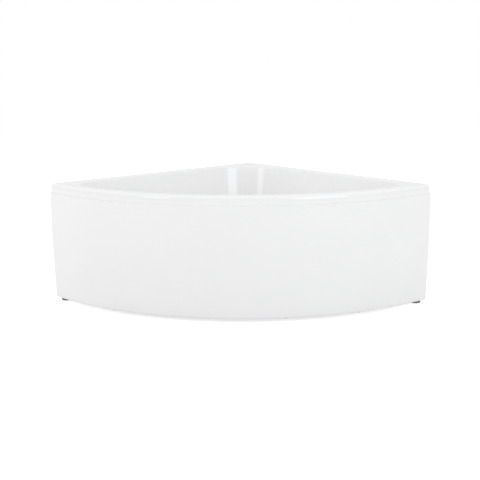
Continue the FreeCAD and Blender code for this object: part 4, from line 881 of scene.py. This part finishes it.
def build_hose(top, corner, end, material):
    """The overflow hose, ribbed between the plain cuffs at its ends."""
    bend, radius, wall, pitch, depth, cuff = 0.110, 0.0125, 0.002, 0.0042, 0.0012, 0.024
    count, steps_a_rib, steps_inside = 32, 6, 12
    line = smooth_line([top, corner + (top - corner).normalized() * bend, corner,
                        corner + (end - corner).normalized() * bend, end])
    lengths = lengths_along(line)
    total = lengths[-1]
    steps = int(total / (pitch / steps_a_rib))
    bm = bmesh.new()
    outer, inner = [], []
    for step, (reach, centre, along) in enumerate(stations(line, lengths, steps)):
        up = TO_RIGHT.cross(along)
        dip = 0.0
        if cuff < reach < total - cuff:
            dip = depth * (0.5 - 0.5 * cos(2 * pi * (reach - cuff) / pitch))

        def ring(out):
            return [centre + (TO_RIGHT * cos(a) + up * sin(a)) * out
                    for a in arc(0, 360, count)]
        outer.append(add_ring(bm, ring(radius - dip)))
        if step % steps_inside == 0 or step == steps:
            inner.append(add_ring(bm, ring(radius - wall)))
    join_rings(bm, outer + inner[::-1], looped=True)
    hose = finish_mesh("ribbed_hose", bm, (material,))
    settle(hose, "tub", "hose_plastic", "overflow_hose")


def build_plumbing(plastic, hose_material):
    """The fluted nuts and cap of the waste, and the ribbed hose from the overflow."""
    build_trap_nut(plastic)
    build_trap_cap(plastic)
    build_outlet_nut(plastic)
    down = -(OVERFLOW.to_3x3() @ ALONG_Y)
    top = OVERFLOW @ OVERFLOW_PORT
    corner = top + down * ((top.z - PORT_Z) / -down.z)
    end = DRAIN @ Vector((WASTE_PORT_REACH, 0, PORT_Z))
    build_hose_nut("hose_nut_upper", top, down, plastic)
    build_hose_nut("hose_nut_lower", end, TO_FRONT, plastic)
    build_hose(top, corner, end, hose_material)


# ---- tubes and sheet parts ----

TUBES = ("left_rail", "right_rail", "front_rail", "cross_beam_long", "cross_beam_back",
         "cross_beam_front", "post_back", "post_left", "post_right", "rim_rail_left",
         "rim_rail_right", "upper_front_rail")
BENT_TUBES = ("front_rail", "upper_front_rail")
SHEET_PARTS = (*(f"wall_bracket_{number}" for number in range(1, 5)), "panel_clips",
               *(f"panel_bracket_{number}" for number in range(1, 4)))


def soften(node, name, width, shortest, steps, material, slot):
    """A frame part in its own shape with its longer outer edges rounded."""
    merge, level, square = 1e-6, radians(1), radians(60)
    bm = bmesh.new()
    bm.from_mesh(frame["nodes"][node].data)
    bmesh.ops.remove_doubles(bm, verts=bm.verts, dist=merge)
    bmesh.ops.dissolve_limit(bm, angle_limit=level, verts=bm.verts, edges=bm.edges)
    edges = [edge for edge in bm.edges
             if len(edge.link_faces) == 2 and edge.is_convex and edge.calc_length() > shortest
             and edge.calc_face_angle() > square]
    bmesh.ops.bevel(bm, geom=edges, offset=width, segments=steps, profile=0.5, affect="EDGES",
                    clamp_overlap=False)
    settle(finish_mesh(name, bm, (material,)), "tub", slot, node)


def build_frame_parts(steel, zinc):
    """The square tubes and the bent sheet parts, with their edges rounded."""
    tube_round, tube_steps, shortest_straight, shortest_bent = 0.0012, 3, 0.006, 0.004
    sheet_round, sheet_steps, shortest_sheet = 0.0004, 2, 0.003
    for tube in TUBES:
        shortest = shortest_bent if tube in BENT_TUBES else shortest_straight
        soften(tube, f"{tube}_tube", tube_round, shortest, tube_steps, steel, "frame_steel")
    for part in SHEET_PARTS:
        soften(part, f"{part}_sheet", sheet_round, shortest_sheet, sheet_steps, zinc,
               "zinc_steel")


# ---- materials ----

NOISE_LOW, NOISE_HIGH = 0.3, 0.7


def set_inputs(node, **values):
    for socket, value in values.items():
        node.inputs[socket].default_value = value
    return node


def add_node(tree, kind, **values):
    return set_inputs(tree.nodes.new(f"ShaderNode{kind}"), **values)


def new_material(name, colour, roughness, metallic=0.0):
    """A principled material, with its node tree and its shader."""
    material = bpy.data.materials.new(name)
    material.use_nodes = True
    shader = set_inputs(material.node_tree.nodes["Principled BSDF"], **{
        "Base Color": (*colour, 1), "Roughness": roughness, "Metallic": metallic})
    return material, material.node_tree, shader


def noise(tree, scale, detail=2.0, stretch=None):
    """Noise over the object's own coordinates, in cells per metre."""
    source = add_node(tree, "TexCoord").outputs["Object"]
    if stretch:
        mapping = add_node(tree, "Mapping", Scale=stretch)
        tree.links.new(source, mapping.inputs["Vector"])
        source = mapping.outputs["Vector"]
    texture = add_node(tree, "TexNoise", Scale=scale, Detail=detail)
    tree.links.new(source, texture.inputs["Vector"])
    return texture.outputs["Fac"]


def spread(tree, source, low, high):
    """A noise value spread between two numbers."""
    mapped = add_node(tree, "MapRange", **{
        "From Min": NOISE_LOW, "From Max": NOISE_HIGH, "To Min": low, "To Max": high})
    tree.links.new(source, mapped.inputs["Value"])
    return mapped.outputs["Result"]


def colour_between(tree, source, first, second):
    """A colour that runs from one to the other with a value from 0 to 1."""
    mix = add_node(tree, "Mix")
    mix.data_type = "RGBA"
    for socket in mix.inputs:
        if socket.type == "RGBA":
            socket.default_value = (*(first if socket.name == "A" else second), 1)
    tree.links.new(source, mix.inputs["Factor"])
    return next(output for output in mix.outputs if output.type == "RGBA")


def bump(tree, shader, source, height, normal=None):
    """Relief of a height in metres, laid over an earlier one if there is one."""
    node = add_node(tree, "Bump", Strength=1.0, Distance=height)
    tree.links.new(source, node.inputs["Height"])
    if normal:
        tree.links.new(normal, node.inputs["Normal"])
    tree.links.new(node.outputs["Normal"], shader.inputs["Normal"])
    return node.outputs["Normal"]


def textured(name, first, second, rough, scale, grain, detail=2.0, stretch=None, metallic=0.0):
    """A material whose colour and roughness drift with noise and whose surface has that grain."""
    material, tree, shader = new_material(name, first, sum(rough) / 2, metallic)
    source = noise(tree, scale, detail, stretch)
    colour = colour_between(tree, spread(tree, source, 0, 1), first, second)
    tree.links.new(colour, shader.inputs["Base Color"])
    tree.links.new(spread(tree, source, *rough), shader.inputs["Roughness"])
    bump(tree, shader, source, grain)
    return material


def make_acrylic():
    """Vacuum-formed white acrylic: high gloss, a faint swell in the surface and finer haze."""
    material, tree, shader = new_material("acrylic", (0.872, 0.873, 0.877), 0.05)
    shader.inputs["IOR"].default_value = 1.49
    swell = noise(tree, scale=9, detail=1.0)
    haze = noise(tree, scale=260, detail=3.0)
    tint = spread(tree, swell, 0, 1)
    colour = colour_between(tree, tint, (0.868, 0.869, 0.873), (0.876, 0.877, 0.881))
    tree.links.new(colour, shader.inputs["Base Color"])
    tree.links.new(spread(tree, haze, 0.04, 0.07), shader.inputs["Roughness"])
    waved = bump(tree, shader, swell, height=0.0002)
    bump(tree, shader, haze, height=0.000002, normal=waved)
    return material


def make_laminate():
    """Glass fibre and resin on the back of the acrylic, in long pale and greener patches."""
    return textured("laminate", (0.70, 0.69, 0.60), (0.58, 0.57, 0.47), rough=(0.45, 0.7),
                    scale=120, grain=0.0008, detail=6.0, stretch=(1, 1, 0.35))


def make_board():
    return textured("board", (0.46, 0.33, 0.19), (0.62, 0.49, 0.31), rough=(0.6, 0.85),
                    scale=180, grain=0.0004, detail=5.0)


def make_frame_steel():
    """Grey powder coat."""
    return textured("frame_steel", (0.30, 0.31, 0.32), (0.34, 0.35, 0.36), rough=(0.42, 0.55),
                    scale=900, grain=0.00005)


def make_zinc_steel():
    return textured("zinc_steel", (0.30, 0.31, 0.31), (0.42, 0.42, 0.39), rough=(0.28, 0.42),
                    scale=140, grain=0.00003, detail=3.0, metallic=1.0)


def make_foot_plastic():
    return textured("foot_plastic", (0.20, 0.20, 0.205), (0.25, 0.25, 0.255), rough=(0.5, 0.7),
                    scale=600, grain=0.00008)


def make_chrome():
    return textured("chrome", (0.55, 0.555, 0.56), (0.60, 0.605, 0.605), rough=(0.04, 0.09),
                    scale=60, grain=0.000002, metallic=1.0)


def make_seal_rubber():
    return textured("seal_rubber", (0.018, 0.018, 0.018), (0.03, 0.03, 0.03), rough=(0.6, 0.8),
                    scale=500, grain=0.00006)


def make_hose_plastic():
    return textured("hose_plastic", (0.33, 0.34, 0.35), (0.38, 0.39, 0.40), rough=(0.35, 0.5),
                    scale=300, grain=0.00004)


def make_cable_sheath():
    return textured("cable_sheath", (0.02, 0.02, 0.022), (0.032, 0.032, 0.034),
                    rough=(0.4, 0.55), scale=700, grain=0.00003)


def make_waste_plastic():
    return textured("waste_plastic", (0.72, 0.72, 0.71), (0.77, 0.77, 0.755), rough=(0.35, 0.5),
                    scale=260, grain=0.00005)


MATERIALS = {
    "acrylic": make_acrylic(),
    "laminate": make_laminate(),
    "board": make_board(),
    "frame_steel": make_frame_steel(),
    "zinc_steel": make_zinc_steel(),
    "foot_plastic": make_foot_plastic(),
    "chrome": make_chrome(),
    "seal_rubber": make_seal_rubber(),
    "hose_plastic": make_hose_plastic(),
    "cable_sheath": make_cable_sheath(),
    "waste_plastic": make_waste_plastic(),
}

build_shell(MATERIALS["acrylic"], MATERIALS["laminate"])
build_panel(MATERIALS["acrylic"], MATERIALS["laminate"])
build_overflow_ring(MATERIALS["chrome"])
build_knob(MATERIALS["chrome"])
build_drain_ring(MATERIALS["chrome"])
build_plug(MATERIALS["chrome"])
build_feet(MATERIALS["foot_plastic"], MATERIALS["zinc_steel"])
build_nuts(MATERIALS["zinc_steel"])
build_plumbing(MATERIALS["waste_plastic"], MATERIALS["hose_plastic"])
build_frame_parts(MATERIALS["frame_steel"], MATERIALS["zinc_steel"])

for subpart in frame["record"]["subparts"]:
    for material_slot in frame["nodes"][subpart["node"]].material_slots:
        material_slot.material = MATERIALS[subpart["material_slot"]]


# ---- stage, light and camera ----

WHITE = (1, 1, 1, 1)
FLOOR_SIZE = 12.0
FLOOR_CELLS = 8
FLOOR_COLOUR = 0.67
FLOOR_GLOW = 0.74
WORLD_STRENGTH = 0.99
WORLD_IN_GLOSS = 0.84
MIRRORED = ("Is Glossy Ray",)
SEEN_STRAIGHT = ("Is Camera Ray", "Is Transmission Ray")
LIT_POINT = Vector((0.1, 0.1, 0.3))


def shown_rays(tree, kinds):
    """One where a ray is of any of the given kinds."""
    path = add_node(tree, "LightPath")
    value = path.outputs[kinds[0]]
    for kind in kinds[1:]:
        either = add_node(tree, "Math")
        either.operation = "MAXIMUM"
        tree.links.new(value, either.inputs[0])
        tree.links.new(path.outputs[kind], either.inputs[1])
        value = either.outputs[0]
    return value


def floor_material():
    """Diffuse, with a glow that only the eye and mirrors see; open from below."""
    material = bpy.data.materials.new("floor")
    material.use_nodes = True
    tree = material.node_tree
    tree.nodes.remove(tree.nodes["Principled BSDF"])
    diffuse = add_node(tree, "BsdfDiffuse", Color=(FLOOR_COLOUR,) * 3 + (1,))
    glow = add_node(tree, "Emission", Color=WHITE)
    strength = add_node(tree, "Math")
    strength.operation = "MULTIPLY"
    strength.inputs[1].default_value = FLOOR_GLOW
    both = add_node(tree, "AddShader")
    sides = add_node(tree, "MixShader")
    geometry = add_node(tree, "NewGeometry")
    clear = add_node(tree, "BsdfTransparent")
    for output, socket in (
        (shown_rays(tree, SEEN_STRAIGHT + MIRRORED), strength.inputs[0]),
        (strength.outputs[0], glow.inputs["Strength"]),
        (diffuse.outputs[0], both.inputs[0]),
        (glow.outputs[0], both.inputs[1]),
        (geometry.outputs["Backfacing"], sides.inputs[0]),
        (both.outputs[0], sides.inputs[1]),
        (clear.outputs[0], sides.inputs[2]),
        (sides.outputs[0], tree.nodes["Material Output"].inputs["Surface"]),
    ):
        tree.links.new(output, socket)
    return material


def build_floor():
    """A white floor that keeps the tub's shadow."""
    bm = bmesh.new()
    bmesh.ops.create_grid(bm, x_segments=FLOOR_CELLS, y_segments=FLOOR_CELLS,
                          size=FLOOR_SIZE / 2)
    floor = finish_mesh("floor", bm, smooth=False)
    floor.data.materials.append(floor_material())


def build_world():
    """White where it is seen, a little less where it is mirrored, and a plain level as light."""
    world = bpy.data.worlds.new("studio")
    bpy.context.scene.world = world
    world.use_nodes = True
    tree = world.node_tree
    background = tree.nodes["Background"]
    background.inputs["Color"].default_value = WHITE
    glossy = add_node(tree, "MapRange", **{
        "To Min": WORLD_STRENGTH, "To Max": WORLD_IN_GLOSS})
    tree.links.new(shown_rays(tree, MIRRORED), glossy.inputs["Value"])
    level = add_node(tree, "MapRange", **{"To Max": 1.0})
    tree.links.new(glossy.outputs["Result"], level.inputs["To Min"])
    tree.links.new(shown_rays(tree, SEEN_STRAIGHT), level.inputs["Value"])
    tree.links.new(level.outputs["Result"], background.inputs["Strength"])


def add_softbox(name, bearing, height, distance, size, radiance, colour=(1, 1, 1), mirrored=True):
    """An area lamp on a bearing from the diagonal, in degrees towards the photograph's right."""
    angle = radians(bearing)
    way = TO_FRONT * cos(angle) + TO_RIGHT * sin(angle)
    place = LIT_POINT + way * distance
    place.z = height
    lamp = bpy.data.lights.new(name, "AREA")
    lamp.shape = "RECTANGLE"
    lamp.size, lamp.size_y = size
    lamp.energy = radiance * 4 * size[0] * size[1]
    lamp.color = colour
    thing = add_object(name, lamp)
    thing.location = place
    thing.rotation_euler = (place - LIT_POINT).to_track_quat("Z", "Y").to_euler()
    thing.visible_glossy = mirrored


def build_lamps():
    """Two softboxes, whose mirror images show in the basin's back corner, and a fill."""
    add_softbox("softbox_left", bearing=-42, height=1.0, distance=3.2, size=(0.85, 0.8),
                radiance=1.6)
    add_softbox("softbox_right", bearing=39, height=1.0, distance=3.2, size=(1.50, 0.8),
                radiance=2.1, colour=(0.95, 0.975, 1.0))
    add_softbox("fill_left", bearing=-78, height=1.2, distance=3.4, size=(1.6, 1.2),
                radiance=0.85, mirrored=False)


# The photograph's camera, fitted to the rim, the joint, the panel's foot and outlines.
CAMERA_PLACE = Vector((-2.8180, -3.2085, 1.0057))
CAMERA_HEADING = atan2(0.66066, 0.75068)
CAMERA_PITCH = 0.1785
CAMERA_ROLL = -0.0065
CAMERA_CLIP = (0.05, 60)
FOCAL_PIXELS = 1168.46
IMAGE_SIDE = 480
SENSOR = 36.0


def build_camera():
    data = bpy.data.cameras.new("camera")
    data.sensor_width = SENSOR
    data.lens = FOCAL_PIXELS * SENSOR / IMAGE_SIDE
    data.clip_start, data.clip_end = CAMERA_CLIP
    camera = add_object("camera", data)
    camera.location = CAMERA_PLACE
    turn = (Matrix.Rotation(-CAMERA_HEADING, 3, "Z")
            @ Matrix.Rotation(pi / 2 - CAMERA_PITCH, 3, "X")
            @ Matrix.Rotation(CAMERA_ROLL, 3, "Z"))
    camera.rotation_euler = turn.to_euler()
    bpy.context.scene.camera = camera


build_floor()
build_world()
build_lamps()
build_camera()
bpy.context.scene.view_settings.view_transform = "Standard"
